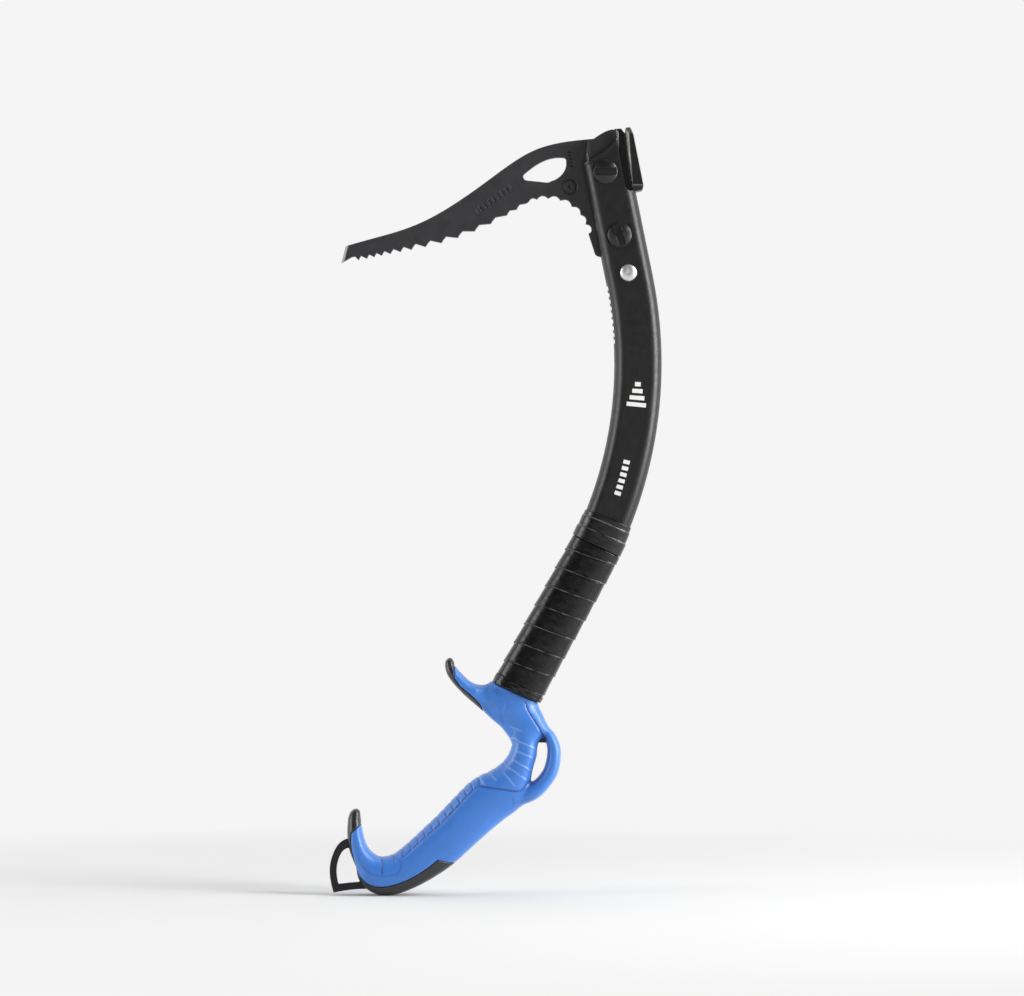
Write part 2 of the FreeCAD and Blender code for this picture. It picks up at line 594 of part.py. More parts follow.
wrap = None
for k in range(TURNS):
    s1 = TAPE_END + 6.0 - k * TAPE_PITCH
    turn = turn_solid(s1 - TAPE_PITCH, s1, TAPE_THICK, TAPE_THIN)
    wrap = turn if wrap is None else wrap.fuse(turn)
ring_top = 20.0
over_band = shaft_solid(TAPE_END, TAPE_END + 60.0, 12.0, False)
below_ring = shaft_solid(0.0, ring_top, 12.0, False)
tape = wrap.cut(skin).cut(below_seam).cut(over_band).cut(below_ring)
save("grip_tape", tape)

# the finishing band is wound twice, the second layer ends half way up
band = shaft_solid(TAPE_END + GAP, BAND_END, 1.45, False)
band = band.fuse(shaft_solid(TAPE_END + GAP, TAPE_END + 10.0, 1.95, False)).cut(skin)
save("finishing_tape", band)

end_ring = shaft_solid(0.0, ring_top - GAP, 1.6, False).cut(skin).cut(below_seam)
save("tape_end_ring", end_ring)

# ================================================================ grip
palm = limb(GRIP)
trigger = limb(TRIGGER)
strap = limb(STRAP)
grip = palm.fuse(strap).fuse(trigger)

CORE_RUN = GRIP[:16]
core_body = limb(CORE_RUN, 3.4, RUBBER_COVER, CORE_HALF)
cavity = limb(CORE_RUN, 3.4, RUBBER_COVER - GAP, CORE_HALF + GAP)
lug_wire = outline(((46.6, 54.7), (56.5, 54.3), (56.6, 57.0), (53.0, 66.0), (44.0, 66.0)))
lug = slab(lug_wire, -5.0, 5.0)
lug_pocket = slab(lug_wire.makeOffset2D(GAP), -5.1, 5.1)
spigot = shaft_solid(8.0, 26.0 + SPIGOT, -WALL - GAP)
link_field = slab(outline(((10.0, 86.0), (60.0, 64.0), (60.0, 110.0), (10.0, 110.0))), -6.5, 6.5)
neck_link = shaft_solid(12.0, 26.0, -WALL - 3.0).common(link_field)
core = core_body.fuse(lug).fuse(spigot.common(above_seam)).fuse(neck_link)

# tang of the hoop inside the pommel, and the hoop itself
HOOP_OUT = [(-64.0, -5.0), (-67.0, -5.3), (-70.3, -6.8), (-73.4, -9.8), (-76.0, -14.9),
            (-77.6, -20.5), (-78.0, -26.0), (-77.4, -31.5), (-75.6, -38.7)]
HOOP_LOW = [(-75.6, -38.7), (-70.0, -37.7), (-64.0, -36.9), (-57.0, -36.5)]
HOOP_TANG = ((-57.0, -36.5), (-52.0, -36.3), (-50.0, -30.0), (-53.0, -22.0), (-58.5, -14.0), (-61.5, -5.2))
HOOP_HOLE = [(-64.8, -11.4), (-67.0, -11.2), (-70.0, -13.2), (-72.2, -17.2),
             (-73.5, -22.0), (-73.7, -27.0), (-72.6, -33.4)]
HOOP_HOLE_LOW = ((-72.6, -33.4), (-66.5, -32.7), (-60.0, -32.2),
                 (-58.2, -31.2), (-61.0, -23.0), (-63.6, -15.6))
hoop_wire = outline(HOOP_OUT, HOOP_LOW, HOOP_TANG)
hole_wire = outline(HOOP_HOLE, HOOP_HOLE_LOW)
HOOP_PINS = ((-60.4, -10.6), (-54.6, -29.6))
hoop = slab(hoop_wire, -HOOP_HALF, HOOP_HALF).cut(slab(hole_wire, -5, 5))
hoop_pocket = slab(hoop_wire, -HOOP_HALF - GAP, HOOP_HALF + GAP).cut(slab(hole_wire, -5, 5))
pins = None
pin_holes = None
for at in HOOP_PINS:
    hoop = hoop.cut(cross_rod(at, 1.55, -5, 5))
    rod = cross_rod(at, 1.5, -6.0, 6.0)
    hole = cross_rod(at, 1.55, -6.1, 6.1)
    pins = rod if pins is None else pins.fuse(rod)
    pin_holes = hole if pin_holes is None else pin_holes.fuse(hole)
save("spike_hoop", hoop)
save("hoop_pins", pins)

shell_region, insert_region = grip_regions()
# the rubber and the core keep clear of the black mouldings by moved copies of their regions
SPLIT_STEPS = (V(SPLIT_GAP, 0, 0), V(0, 0, SPLIT_GAP), V(0, 0, -SPLIT_GAP))


def clear_of(shape, region):
    """Cut a region and a thin margin round it out of a shape."""
    for step in SPLIT_STEPS:
        shape = shape.cut(region.translated(step))
    return shape


core = clear_of(core, shell_region).cut(hoop_pocket).cut(pin_holes)
for pin in PINS:
    core = core.cut(cross_rod(pin, 2.05, -20, 20))
save("handle_core", core)

shaft_pins = None
for pin in PINS:
    rod = cross_rod(pin, 2.0, -PANEL_Y + 0.1, PANEL_Y - 0.1)
    shaft_pins = rod if shaft_pins is None else shaft_pins.fuse(rod)
save("shaft_pins", shaft_pins)

rubber = clear_of(clear_of(grip.cut(cavity).cut(lug_pocket), shell_region), insert_region)
taped_end = shaft_solid(4.0, 60.0, 1.7, False).common(above_seam)
rubber = rubber.cut(hoop_pocket).cut(pin_holes).cut(taped_end)
save("rubber_grip", rubber)
save("pommel_shell", grip.common(shell_region).cut(hoop_pocket).cut(pin_holes))
save("trigger_insert", grip.common(insert_region))
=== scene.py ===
import math

import bmesh
import bpy
import numpy as np
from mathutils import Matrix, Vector


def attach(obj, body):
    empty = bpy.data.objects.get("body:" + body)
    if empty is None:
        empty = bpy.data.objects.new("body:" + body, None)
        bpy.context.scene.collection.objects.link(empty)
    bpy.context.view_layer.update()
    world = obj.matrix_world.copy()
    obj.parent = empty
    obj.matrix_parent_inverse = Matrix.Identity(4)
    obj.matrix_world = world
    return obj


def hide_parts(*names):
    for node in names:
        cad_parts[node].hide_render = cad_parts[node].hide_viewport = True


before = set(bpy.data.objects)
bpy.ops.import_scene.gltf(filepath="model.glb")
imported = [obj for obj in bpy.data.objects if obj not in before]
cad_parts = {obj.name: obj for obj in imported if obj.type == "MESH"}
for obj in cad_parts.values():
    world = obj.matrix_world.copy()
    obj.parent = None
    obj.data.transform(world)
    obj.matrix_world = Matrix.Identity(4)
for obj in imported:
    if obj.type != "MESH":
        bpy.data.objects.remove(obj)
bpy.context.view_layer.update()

MM = 0.001
BODY = "axe"
rng = np.random.default_rng(7)

# ---------------------------------------------------------------- shaft, as in the CAD source
SHAFT_R = 259.5
SHAFT_C = (-146.4, 289.1)
LEAN_LOW = 28.9
LEAN_TOP = 11.5
LOW_RUN = 104.0
SHAFT_A = 14.7                  # half depth
SHAFT_B = 10.5                  # half thickness
NOSE_AT = 9.4                   # where the elliptical edges start
PANEL_Y = 9.9                   # the sunk side panels
PANEL_HALF = 7.4                # half width of those panels
SEAM_FRONT = (22.8, 91.5)       # seam between grip and shaft
SEAM_BACK = (51.2, 79.0)
TAPE_PITCH = 13.2
TAPE_THIN = 1.05
TAPE_THICK = 1.6
TAPE_CROWN = 1.8                # the wound tape bulges over the flat sides
TAPE_POWER = 2.9                # roundness of the wound section
SUNK = -0.4                     # closes a sleeve's open ends under the shaft's surface
RING_TOP = 20.0                 # station where the end ring of tape stops
TAPE_END = 117.8                # station where the wrap runs under the finishing band
BAND_END = 136.5

# ---------------------------------------------------------------- grip
VOXEL = 0.40                    # grid step of the moulded pieces
GRIP_POWER = 2.6                # roundness of the sections
SEAM_GAP = 0.07                 # half of the dark line between blue and black pieces

# front edge x z, rear edge x z, half thickness, from the shaft's seam down to the pommel's tip
PALM = [
    (27.6, 100.2, 56.0, 87.7, 12.3), (22.8, 91.5, 51.2, 79.0, 12.3), (22.6, 82.0, 52.0, 75.5, 12.2),
    (22.4, 71.0, 55.0, 68.5, 12.1), (29.6, 62.2, 56.4, 60.8, 12.2), (34.6, 54.2, 51.4, 53.8, 12.4),
    (32.9, 47.4, 50.3, 46.0, 12.6), (28.7, 41.7, 48.0, 37.8, 12.8), (21.8, 36.9, 45.8, 27.4, 13.0),
    (15.3, 33.9, 40.6, 15.0, 13.0), (8.4, 29.4, 30.2, 6.6, 13.0), (-0.3, 20.8, 19.6, -2.2, 13.0),
    (-10.6, 10.0, 8.6, -12.2, 13.0), (-20.5, 0.6, -2.0, -21.6, 13.0),
    (-29.8, -8.1, -14.2, -29.8, 12.9), (-37.6, -14.2, -27.0, -36.4, 12.7),
    (-42.8, -16.2, -38.2, -40.1, 12.5), (-47.4, -16.2, -48.4, -39.9, 12.2),
    (-51.2, -14.0, -56.6, -35.2, 11.9), (-53.0, -12.2, -60.5, -29.5, 11.6),
    (-54.6, -10.0, -61.6, -23.4, 11.3), (-56.6, -5.0, -65.6, -13.2, 10.8),
    (-57.8, 0.4, -67.0, -4.0, 10.3), (-58.5, 5.0, -67.0, 2.8, 9.6), (-59.0, 9.4, -66.3, 8.4, 8.4),
    (-59.5, 12.2, -64.8, 11.6, 6.0), (-61.0, 13.3, -63.0, 13.0, 2.6),
]
TRIGGER = [
    (33.0, 85.0, 29.0, 66.5, 10.2), (23.4, 91.2, 20.4, 71.0, 10.8), (17.0, 89.9, 12.4, 77.6, 10.6),
    (11.0, 91.0, 5.8, 83.3, 10.2), (6.6, 94.2, 0.9, 88.3, 9.8), (3.0, 97.9, -2.8, 92.7, 9.4),
    (0.1, 101.3, -5.4, 97.0, 9.0), (-1.1, 104.4, -6.5, 101.6, 8.2), (-2.0, 106.2, -6.2, 104.8, 6.0),
    (-3.2, 106.9, -4.8, 106.4, 2.6),
]
STRAP = [
    (46.0, 72.5, 50.6, 74.4, 5.6), (50.4, 63.8, 55.8, 66.0, 8.6), (55.2, 56.8, 61.6, 59.6, 10.2),
    (56.8, 50.4, 65.0, 51.4, 10.6), (56.3, 44.0, 65.1, 43.2, 10.8), (54.6, 38.0, 63.2, 34.8, 10.9),
    (51.6, 33.6, 58.6, 27.2, 11.0), (47.6, 29.8, 51.8, 20.2, 11.2), (41.0, 26.0, 43.6, 16.2, 10.8),
    (34.0, 24.0, 36.0, 15.0, 9.0),
]
SHELL_EDGE = [
    (-52.0, 7.0), (-58.6, 4.0), (-64.4, -1.8), (-64.5, -9.0), (-61.6, -22.0), (-58.6, -28.6),
    (-52.0, -33.6), (-43.0, -34.3), (-30.0, -30.4), (-19.0, -24.0), (-11.0, -17.8), (-5.0, -19.4),
    (4.0, -20.6),
]
INSERT_EDGE = [
    (4.0, 103.2), (-0.6, 103.2), (-0.8, 98.0), (-0.4, 94.2), (2.8, 89.6), (8.6, 84.9), (13.2, 80.6),
    (15.8, 77.2), (18.8, 70.6),
]
# corners that close the two edges into areas, out beyond the grip
SHELL_REST = [(4, -70), (-95, -70), (-95, 30), (-52, 30)]
INSERT_REST = [(10, 60), (-30, 80), (-30, 120), (4, 120)]
PANEL_LINE = [
    (-33.0, -16.5), (-28.0, -12.5), (-20.0, -5.0), (-10.0, 3.5), (0.0, 13.5), (5.0, 19.0), (10.0, 24.0),
    (14.0, 27.5), (20.0, 27.0), (30.0, 25.8), (40.0, 25.0), (45.0, 30.0),
]
REAR_LINE = [(43.0, 79.5), (45.0, 74.0), (50.0, 66.0), (53.5, 60.0), (56.0, 57.0)]
HOOK_LINE = [
    (-34.9, -16.8), (-33.4, -20.3), (-35.2, -25.6), (-41.2, -27.3), (-48.0, -27.2), (-52.6, -25.8),
    (-57.1, -21.9), (-60.3, -15.5),
]
HOOK_CUT = [(-45.8, -16.0), (-45.4, -21.0), (-45.2, -26.0)]
NECK_LINES = [
    ((34.0, 64.5), (41.0, 61.5)), ((35.0, 57.5), (49.0, 51.0)), ((37.0, 50.0), (47.5, 45.0)),
    ((36.0, 44.0), (46.0, 37.5)), ((33.5, 39.0), (43.5, 31.5)), ((30.0, 36.0), (36.5, 28.0)),
    ((21.5, 35.5), (25.0, 31.5)), ((15.0, 33.0), (18.0, 28.6)),
]
# crease at the finger rest's root
FACET_LINE = [(25.0, 92.0), (24.0, 80.0), (27.6, 73.0), (33.8, 67.0), (37.5, 62.0)]
FACET_FIELD = FACET_LINE + [(30.0, 50.0), (0.0, 60.0), (0.0, 110.0), (20.0, 110.0)]
RIB_PITCH = 5.95                # spacing of the notches down the palm
RIB_FROM = (34.5, 53.0)
RIB_COUNT = 18
SHORT_RIBS = 5                  # the first ones only nick the edge
RIB_DEEP = 0.42
RIB_SHORT, RIB_LONG = 1.3, 4.6  # how far a notch runs in from the edge
GROOVE = 0.34                   # depth of a moulded line
GROOVE_FAINT = 0.14
GROOVE_WIDE = 0.5
NECK_WIDE = 0.42                # the neck's fine raised lines
NECK_HIGH = 0.2
FACET_DEEP = 0.22               # fall of the finger rest's facet for each millimetre from its crease
FACET_RUN, FACET_FADE = 5.0, 7.0


# ================================================================ plane geometry
def hermite(rows, per):
    """Smooth curve through rows of numbers, with per steps to each span.

    A row is one x z point, or begins with two x z points that face each other.
    """
    rows = np.asarray(rows, float)
    middle = rows[:, :2] if rows.shape[1] < 4 else (rows[:, :2] + rows[:, 2:4]) / 2
    chord = np.linalg.norm(np.diff(middle, axis=0), axis=1)
    knots = np.concatenate([[0.0], np.cumsum(np.sqrt(chord))])
    slopes = np.gradient(rows, knots, axis=0)
    u = np.linspace(0, 1, per, endpoint=False)[:, None]
    out = []
    for i in range(len(rows) - 1):
        h = knots[i + 1] - knots[i]
        out.append((2 * u ** 3 - 3 * u ** 2 + 1) * rows[i] + (u ** 3 - 2 * u ** 2 + u) * h * slopes[i]
                   + (3 * u ** 2 - 2 * u ** 3) * rows[i + 1] + (u ** 3 - u ** 2) * h * slopes[i + 1])
    out.append(rows[-1:])
    return np.concatenate(out)


def line_distance(points, x, z):
    """Distance of every grid point to a polyline."""
    best = np.full(x.shape, 1e9)
    for (ax, az), (bx, bz) in zip(points[:-1], points[1:]):
        dx, dz = bx - ax, bz - az
        t = np.clip(((x - ax) * dx + (z - az) * dz) / max(dx * dx + dz * dz, 1e-12), 0, 1)
        best = np.minimum(best, (x - ax - t * dx) ** 2 + (z - az - t * dz) ** 2)
    return np.sqrt(best)


def in_polygon(points, x, z):
    """True for the grid points inside a closed polygon."""
    inside = np.zeros(x.shape, bool)
    for (ax, az), (bx, bz) in zip(points, np.roll(points, -1, axis=0)):
        if az == bz:
            continue
        spans = (z >= min(az, bz)) & (z < max(az, bz))
        inside ^= spans & (x < ax + (z - az) * (bx - ax) / (bz - az))
    return inside


def signed_distance(points, x, z):
    """Distance to a closed polygon, negative inside."""
    points = np.asarray(points, float)
    d = line_distance(np.concatenate([points, points[:1]]), x, z)
    return np.where(in_polygon(points, x, z), -d, d)


def soft_min(a, b, k):
    h = np.clip(0.5 + 0.5 * (b - a) / k, 0, 1)
    return b + (a - b) * h - k * h * (1 - h)


def soft_max(a, b, k):
    return -soft_min(-a, -b, k)


# ================================================================ meshes
def add_mesh(name, verts, faces, material, smooth=True, body=BODY):
    """A mesh given in millimetres that rides on one body."""
    mesh = bpy.data.meshes.new(name)
    faces = faces if isinstance(faces, list) else faces.tolist()
    mesh.from_pydata((np.asarray(verts, float) * MM).tolist(), [], faces)
    mesh.update()
    if smooth:
        mesh.polygons.foreach_set("use_smooth", np.ones(len(mesh.polygons), bool))
    mesh.materials.append(material)
    obj = bpy.data.objects.new(name, mesh)
    bpy.context.scene.collection.objects.link(obj)
    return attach(obj, body)


def round_faces(rows, count):
    """Quads between rows of count points, each row closed on itself."""
    i, j = np.meshgrid(np.arange(rows - 1), np.arange(count), indexing="ij")
    k = (j + 1) % count
    quads = [i * count + j, i * count + k, (i + 1) * count + k, (i + 1) * count + j]
    return np.stack(quads, -1).reshape(-1, 4)


def point_layer(obj, name, values):
    """A number on every vertex, for the materials."""
    obj.data.attributes.new(name, "FLOAT", "POINT").data.foreach_set("value", values)


def surface_net(field, origin, step):
    """Quads of the zero level of a field on a regular grid."""
    neg = field < 0
    corners = [(i, j, k) for i in (0, 1) for j in (0, 1) for k in (0, 1)]

    def shift(a, c):
        n = [s - 1 for s in a.shape]
        return a[c[0]:c[0] + n[0], c[1]:c[1] + n[1], c[2]:c[2] + n[2]]

    count = sum(shift(neg, c).astype(np.int8) for c in corners)
    cells = np.argwhere((count > 0) & (count < 8))
    total = np.zeros((len(cells), 3))
    hits = np.zeros(len(cells))
    values = {c: field[cells[:, 0] + c[0], cells[:, 1] + c[1], cells[:, 2] + c[2]] for c in corners}
    for c in corners:
        for axis in range(3):
            if c[axis]:
                continue
            d = tuple(v + (i == axis) for i, v in enumerate(c))
            a, b = values[c], values[d]
            cross = (a < 0) != (b < 0)
            t = a[cross] / (a[cross] - b[cross])
            point = np.tile(np.array(c, float), (int(cross.sum()), 1))
            point[:, axis] += t
            total[cross] += point
            hits[cross] += 1
    verts = np.asarray(origin) + (cells + total / hits[:, None]) * step
    ids = np.full(count.shape, -1, np.int64)
    ids[tuple(cells.T)] = np.arange(len(cells))
    faces = []
    for axis in range(3):
        u, v = (axis + 1) % 3, (axis + 2) % 3
        low = [slice(None)] * 3
        high = [slice(None)] * 3
        low[axis] = slice(0, -1)
        high[axis] = slice(1, None)
        change = np.argwhere(neg[tuple(low)] != neg[tuple(high)])
        keep = (change[:, u] > 0) & (change[:, v] > 0)
        keep &= (change[:, u] < count.shape[u]) & (change[:, v] < count.shape[v])
        change = change[keep]
        ring = []
        for du, dv in ((1, 1), (0, 1), (0, 0), (1, 0)):
            cell = change.copy()
            cell[:, u] -= du
            cell[:, v] -= dv
            ring.append(ids[tuple(cell.T)])
        quad = np.stack(ring, 1)
        out = neg[tuple(change.T)]
        quad[~out] = quad[~out][:, ::-1]
        faces.append(quad)
    return verts, np.concatenate(faces)


def relaxed(verts, faces, rounds=6):
    """Evens out the small steps a grid leaves in a surface, without shrinking it."""
    a, b = faces.ravel(), np.roll(faces, -1, 1).ravel()
    size = len(verts)
    count = (np.bincount(a, minlength=size) + np.bincount(b, minlength=size))[:, None]
    for pull in (0.5, -0.52) * rounds:
        total = [np.bincount(a, verts[b, k], size) + np.bincount(b, verts[a, k], size) for k in range(3)]
        verts = verts + pull * (np.stack(total, 1) / count - verts)
    return verts


# ================================================================ materials
NOISE_LOW, NOISE_HIGH = 0.3, 0.7        # part of the noise's range that is spread out
GRAIN_HIGH = 0.0002                     # metres


def finish(name, colour, rough, metallic=0.0, specular=0.5, grain=(2500.0, 0.12), vary=0.12,
           vary_scale=90.0, rough_vary=0.08, sheen=0.0, extra=None):
    """Painted, moulded or ground surface: grain in the bump, uneven colour and roughness.

    grain is the scale and strength of the bump; extra may add nodes before colour and normal are used.
    """
    mat = bpy.data.materials.new(name)
    mat.use_nodes = True
    nodes, links = mat.node_tree.nodes, mat.node_tree.links
    shader = nodes["Principled BSDF"]
    shader.inputs["Metallic"].default_value = metallic
    shader.inputs["Specular IOR Level"].default_value = specular
    shader.inputs["Sheen Weight"].default_value = sheen
    shader.inputs["Sheen Roughness"].default_value = 0.35
    where = nodes.new("ShaderNodeTexCoord")

    def noise(scale, detail=3.0):
        n = nodes.new("ShaderNodeTexNoise")
        n.inputs["Scale"].default_value = scale
        n.inputs["Detail"].default_value = detail
        links.new(where.outputs["Object"], n.inputs["Vector"])
        return n.outputs["Fac"]

    def spread(value, low, high):
        n = nodes.new("ShaderNodeMapRange")
        n.inputs["From Min"].default_value = NOISE_LOW
        n.inputs["From Max"].default_value = NOISE_HIGH
        n.inputs["To Min"].default_value = low
        n.inputs["To Max"].default_value = high
        links.new(value, n.inputs["Value"])
        return n.outputs["Result"]

    dark = [c * (1 - vary) for c in colour]
    light = [min(1.0, c * (1 + vary)) for c in colour]
    mix = nodes.new("ShaderNodeMix")
    mix.data_type = "RGBA"
    mix.inputs["A"].default_value = (*dark, 1)
    mix.inputs["B"].default_value = (*light, 1)
    links.new(spread(noise(vary_scale, 4.0), 0, 1), mix.inputs["Factor"])
    result = mix.outputs["Result"]
    uneven = spread(noise(vary_scale * 3), rough - rough_vary, rough + rough_vary)
    links.new(uneven, shader.inputs["Roughness"])
    bump = nodes.new("ShaderNodeBump")
    bump.inputs["Strength"].default_value = grain[1]
    bump.inputs["Distance"].default_value = GRAIN_HIGH
    links.new(noise(grain[0], 2.0), bump.inputs["Height"])
    normal = bump.outputs["Normal"]
    if extra:
        result, normal = extra(nodes, links, where.outputs["Object"], result, normal)
    links.new(result, shader.inputs["Base Color"])
    links.new(normal, shader.inputs["Normal"])
    return mat


def srgb(r, g, b):
    """Linear colour from 0-255 values."""
    return tuple(((c / 255 + 0.055) / 1.055) ** 2.4 if c > 10 else c / 255 / 12.92 for c in (r, g, b))


HIGHLIGHT_LAYER = "painted_highlight"       # vertex layers that paint highlights and shade along thin lines
GROOVE_SHADE_LAYER = "painted_groove_shade"


def painted_lines(*tints):
    """Lets vertex layers paint highlights and shade along thin lines of a surface; each tint is (layer,
    colour, strength).
    """
    def add(nodes, links, where, base, normal):
        for name, colour, strength in tints:
            layer = nodes.new("ShaderNodeAttribute")
            layer.attribute_name = name
            weight = nodes.new("ShaderNodeMath")
            weight.operation = "MULTIPLY"
            weight.use_clamp = True
            weight.inputs[1].default_value = strength
            links.new(layer.outputs["Fac"], weight.inputs[0])
            mix = nodes.new("ShaderNodeMix")
            mix.data_type = "RGBA"
            mix.inputs["B"].default_value = (*colour, 1)
            links.new(weight.outputs[0], mix.inputs["Factor"])
            links.new(base, mix.inputs["A"])
            base = mix.outputs["Result"]
        return base, normal
    return add


# painted highlight on the neck's raised lines and painted shade in the grooves and notches
rubber = finish("rubber_blue", srgb(54, 118, 202), 0.40, specular=0.7, grain=(1600.0, 0.05), vary=0.05,
                vary_scale=60.0, rough_vary=0.06, sheen=0.4,
                extra=painted_lines((HIGHLIGHT_LAYER, srgb(150, 190, 245), 0.4), (GROOVE_SHADE_LAYER, srgb(10, 42, 118), 0.85)))
nylon_gloss = finish("nylon_gloss", srgb(24, 24, 25), 0.36, specular=0.8, grain=(1600.0, 0.05), vary=0.2)
nylon = finish("nylon_black", srgb(30, 30, 32), 0.5, grain=(2600.0, 0.15), vary=0.2)
shaft_paint = finish("shaft_black", srgb(10, 10, 11), 0.40, grain=(2300.0, 0.34), vary=0.18, rough_vary=0.06)
# the edge layer paints light grey highlights on each turn's edge and on the band's steps
tape_black = finish("tape_black", srgb(10, 10, 10), 0.29, specular=0.42, grain=(1400.0, 0.12), vary=0.16,
                    extra=painted_lines((HIGHLIGHT_LAYER, srgb(120, 119, 117), 0.75)))
tape_gloss = finish("tape_gloss", srgb(14, 14, 15), 0.30, grain=(1400.0, 0.10), vary=0.16,
                    extra=painted_lines((HIGHLIGHT_LAYER, srgb(110, 110, 110), 0.8)))
cheek_paint = finish("cheek_alloy", srgb(33, 33, 34), 0.38, grain=(2600.0, 0.12), vary=0.15)
bolt_black = finish("bolt_black", srgb(22, 22, 23), 0.33, specular=0.45, grain=(2600.0, 0.06), vary=0.1,
                    rough_vary=0.02)
rivet_steel = finish("rivet_steel", (0.66, 0.66, 0.65), 0.44, metallic=1.0, grain=(1800.0, 0.08), vary=0.08)
hammer_steel = finish("hammer_steel", srgb(22, 22, 23), 0.34, metallic=0.2, grain=(1500.0, 0.15), vary=0.2)
# lighter steel on the hammer's rounded edges and chamfers: painted highlight
hammer_edge_highlight = finish("hammer_edge_highlight", srgb(104, 103, 100), 0.36, metallic=0.6, grain=(1500.0, 0.15), vary=0.25)
# lighter steel: bare ground steel on the pick's facets, painted highlight on its rounded edges
pick_ground_and_highlight = finish("pick_ground_and_highlight", srgb(104, 104, 106), 0.36, metallic=0.5, grain=(1500.0, 0.12), vary=0.25)
hoop_steel = finish("hoop_steel", srgb(20, 20, 21), 0.5, grain=(1800.0, 0.18), vary=0.2)
pin_steel = finish("pin_steel", (0.4, 0.4, 0.41), 0.35, metallic=1.0, vary=0.08)
print_white = finish("print_white", srgb(228, 228, 226), 0.55, grain=(3000.0, 0.1), vary=0.03)


# ================================================================ shaft stations
def station(s):
    """Centre x z and upward direction x z at stations s along the shaft."""
    s = np.asarray(s, float)
    bend_run = SHAFT_R * math.radians(LEAN_LOW + LEAN_TOP)
    a = np.radians(-LEAN_LOW) + np.clip(s - LOW_RUN, 0, bend_run) / SHAFT_R
    over = np.minimum(s - LOW_RUN, 0) + np.maximum(s - LOW_RUN - bend_run, 0)
    up = np.stack([-np.sin(a), np.cos(a)], -1)
    centre = np.stack([SHAFT_C[0] + SHAFT_R * np.cos(a), SHAFT_C[1] + SHAFT_R * np.sin(a)], -1)
    return centre + up * over[..., None], up


def outer_y(n):
    """Half thickness of the plain section at a distance n across it."""
    into_nose = np.maximum(np.abs(n) - NOSE_AT, 0) / (SHAFT_A - NOSE_AT)
    return SHAFT_B * np.sqrt(np.clip(1 - into_nose ** 2, 0, 1))


def wound_section(count):
    """Points n y, outward normals and spare thickness of the rounded section, evenly from the front."""
    t = np.linspace(0, 2 * math.pi, 1441)
    c, d = np.cos(t), np.sin(t)
    ring = np.stack([-SHAFT_A * np.sign(c) * np.abs(c) ** (2 / TAPE_POWER),
                     -(SHAFT_B + TAPE_CROWN) * np.sign(d) * np.abs(d) ** (2 / TAPE_POWER)], 1)
    run = np.concatenate([[0], np.cumsum(np.linalg.norm(np.diff(ring, axis=0), axis=1))])
    even = np.linspace(0, run[-1], count, endpoint=False)
    points = np.stack([np.interp(even, run, ring[:, 0]), np.interp(even, run, ring[:, 1])], 1)
    ahead = np.roll(points, -1, 0) - np.roll(points, 1, 0)
    normals = np.stack([ahead[:, 1], -ahead[:, 0]], 1)
    normals /= np.linalg.norm(normals, axis=1)[:, None]
    if (normals[0] * points[0]).sum() < 0:
        normals = -normals
    return points, normals, (np.abs(points[:, 1]) - outer_y(points[:, 0])) * np.abs(normals[:, 1])


def step_up(x, width):
    """0 below zero and 1 above it, over a short width."""
    t = np.clip(x / width + 0.5, 0, 1)
    return t * t * (3 - 2 * t)


def waves(u, v, cell_u, cell_v, terms=24):
    """Smooth random relief, about -1 to 1, with features of the given sizes.

    v runs once round the shaft from 0 to 1. The turns keep it whole where 1 meets 0.
    """
    total = np.zeros(np.broadcast(u, v).shape)
    for _ in range(terms):
        turns = rng.integers(-int(1 / cell_v), int(1 / cell_v) + 1)
        total += np.sin(2 * math.pi * (u * rng.normal() / cell_u + turns * v) + rng.uniform(0, 6.3))
    return total / math.sqrt(terms)


def above_seam(x, z):
    """Distance over the seam between grip and shaft."""
    along = np.array(SEAM_BACK) - SEAM_FRONT
    along /= np.linalg.norm(along)
    return (z - SEAM_FRONT[1]) * along[0] - (x - SEAM_FRONT[0]) * along[1]


def sleeve(name, s, height, material, edges=None, count=160):
    """Skin wound round the shaft, height(s, w) over its surface at stations s.

    w runs once round from 0 to 1, from the front over the near side.
    """
    points, normals, spare = wound_section(count)
    centre, up = station(s)
    across = np.stack([up[:, 1], -up[:, 0]], 1)
    w = np.arange(count) / count
    h = height(s[:, None], w[None, :])
    x = centre[:, None, 0] + across[:, None, 0] * points[None, :, 0]
    z = centre[:, None, 1] + across[:, None, 1] * points[None, :, 0]
    h = SUNK + (h - SUNK) * step_up(above_seam(x, z) - 0.3, 0.5)
    h = h - spare[None, :] * (1 - np.clip((h - SUNK) / (0.6 - SUNK), 0, 1))
    n = points[None, :, 0] + normals[None, :, 0] * h
    y = points[None, :, 1] + normals[None, :, 1] * h
    x = centre[:, None, 0] + across[:, None, 0] * n
    z = centre[:, None, 1] + across[:, None, 1] * n
    verts = np.stack([x, y, z], -1).reshape(-1, 3)
    piece = add_mesh(name, verts, round_faces(len(s), count), material)
    # edges gives the painted highlights along the skin's thin lines
    if edges:
        point_layer(piece, HIGHLIGHT_LAYER, np.broadcast_to(edges(s[:, None], w[None, :]), h.shape).ravel())
    return piece


# ================================================================ tape
def turn_phase(s, w):
    """0 to 1 across each turn of the tape, from its lower edge up."""
    line = (s - TAPE_END - 6.0) / TAPE_PITCH - (w - 0.25) + 0.02 * np.sin(s / 9.0 + 2.0)
    return line - np.floor(line)


def tape_relief(s, w):
    phase = turn_phase(s, w)
    lip = np.exp(-(phase / 0.035) ** 2) + np.exp(-((1 - phase) / 0.03) ** 2) * -0.6
    base = TAPE_THIN + (TAPE_THICK - TAPE_THIN) * (1 - phase)
    return base + 0.2 * lip + 0.05 * waves(s, w, 9.0, 0.06)


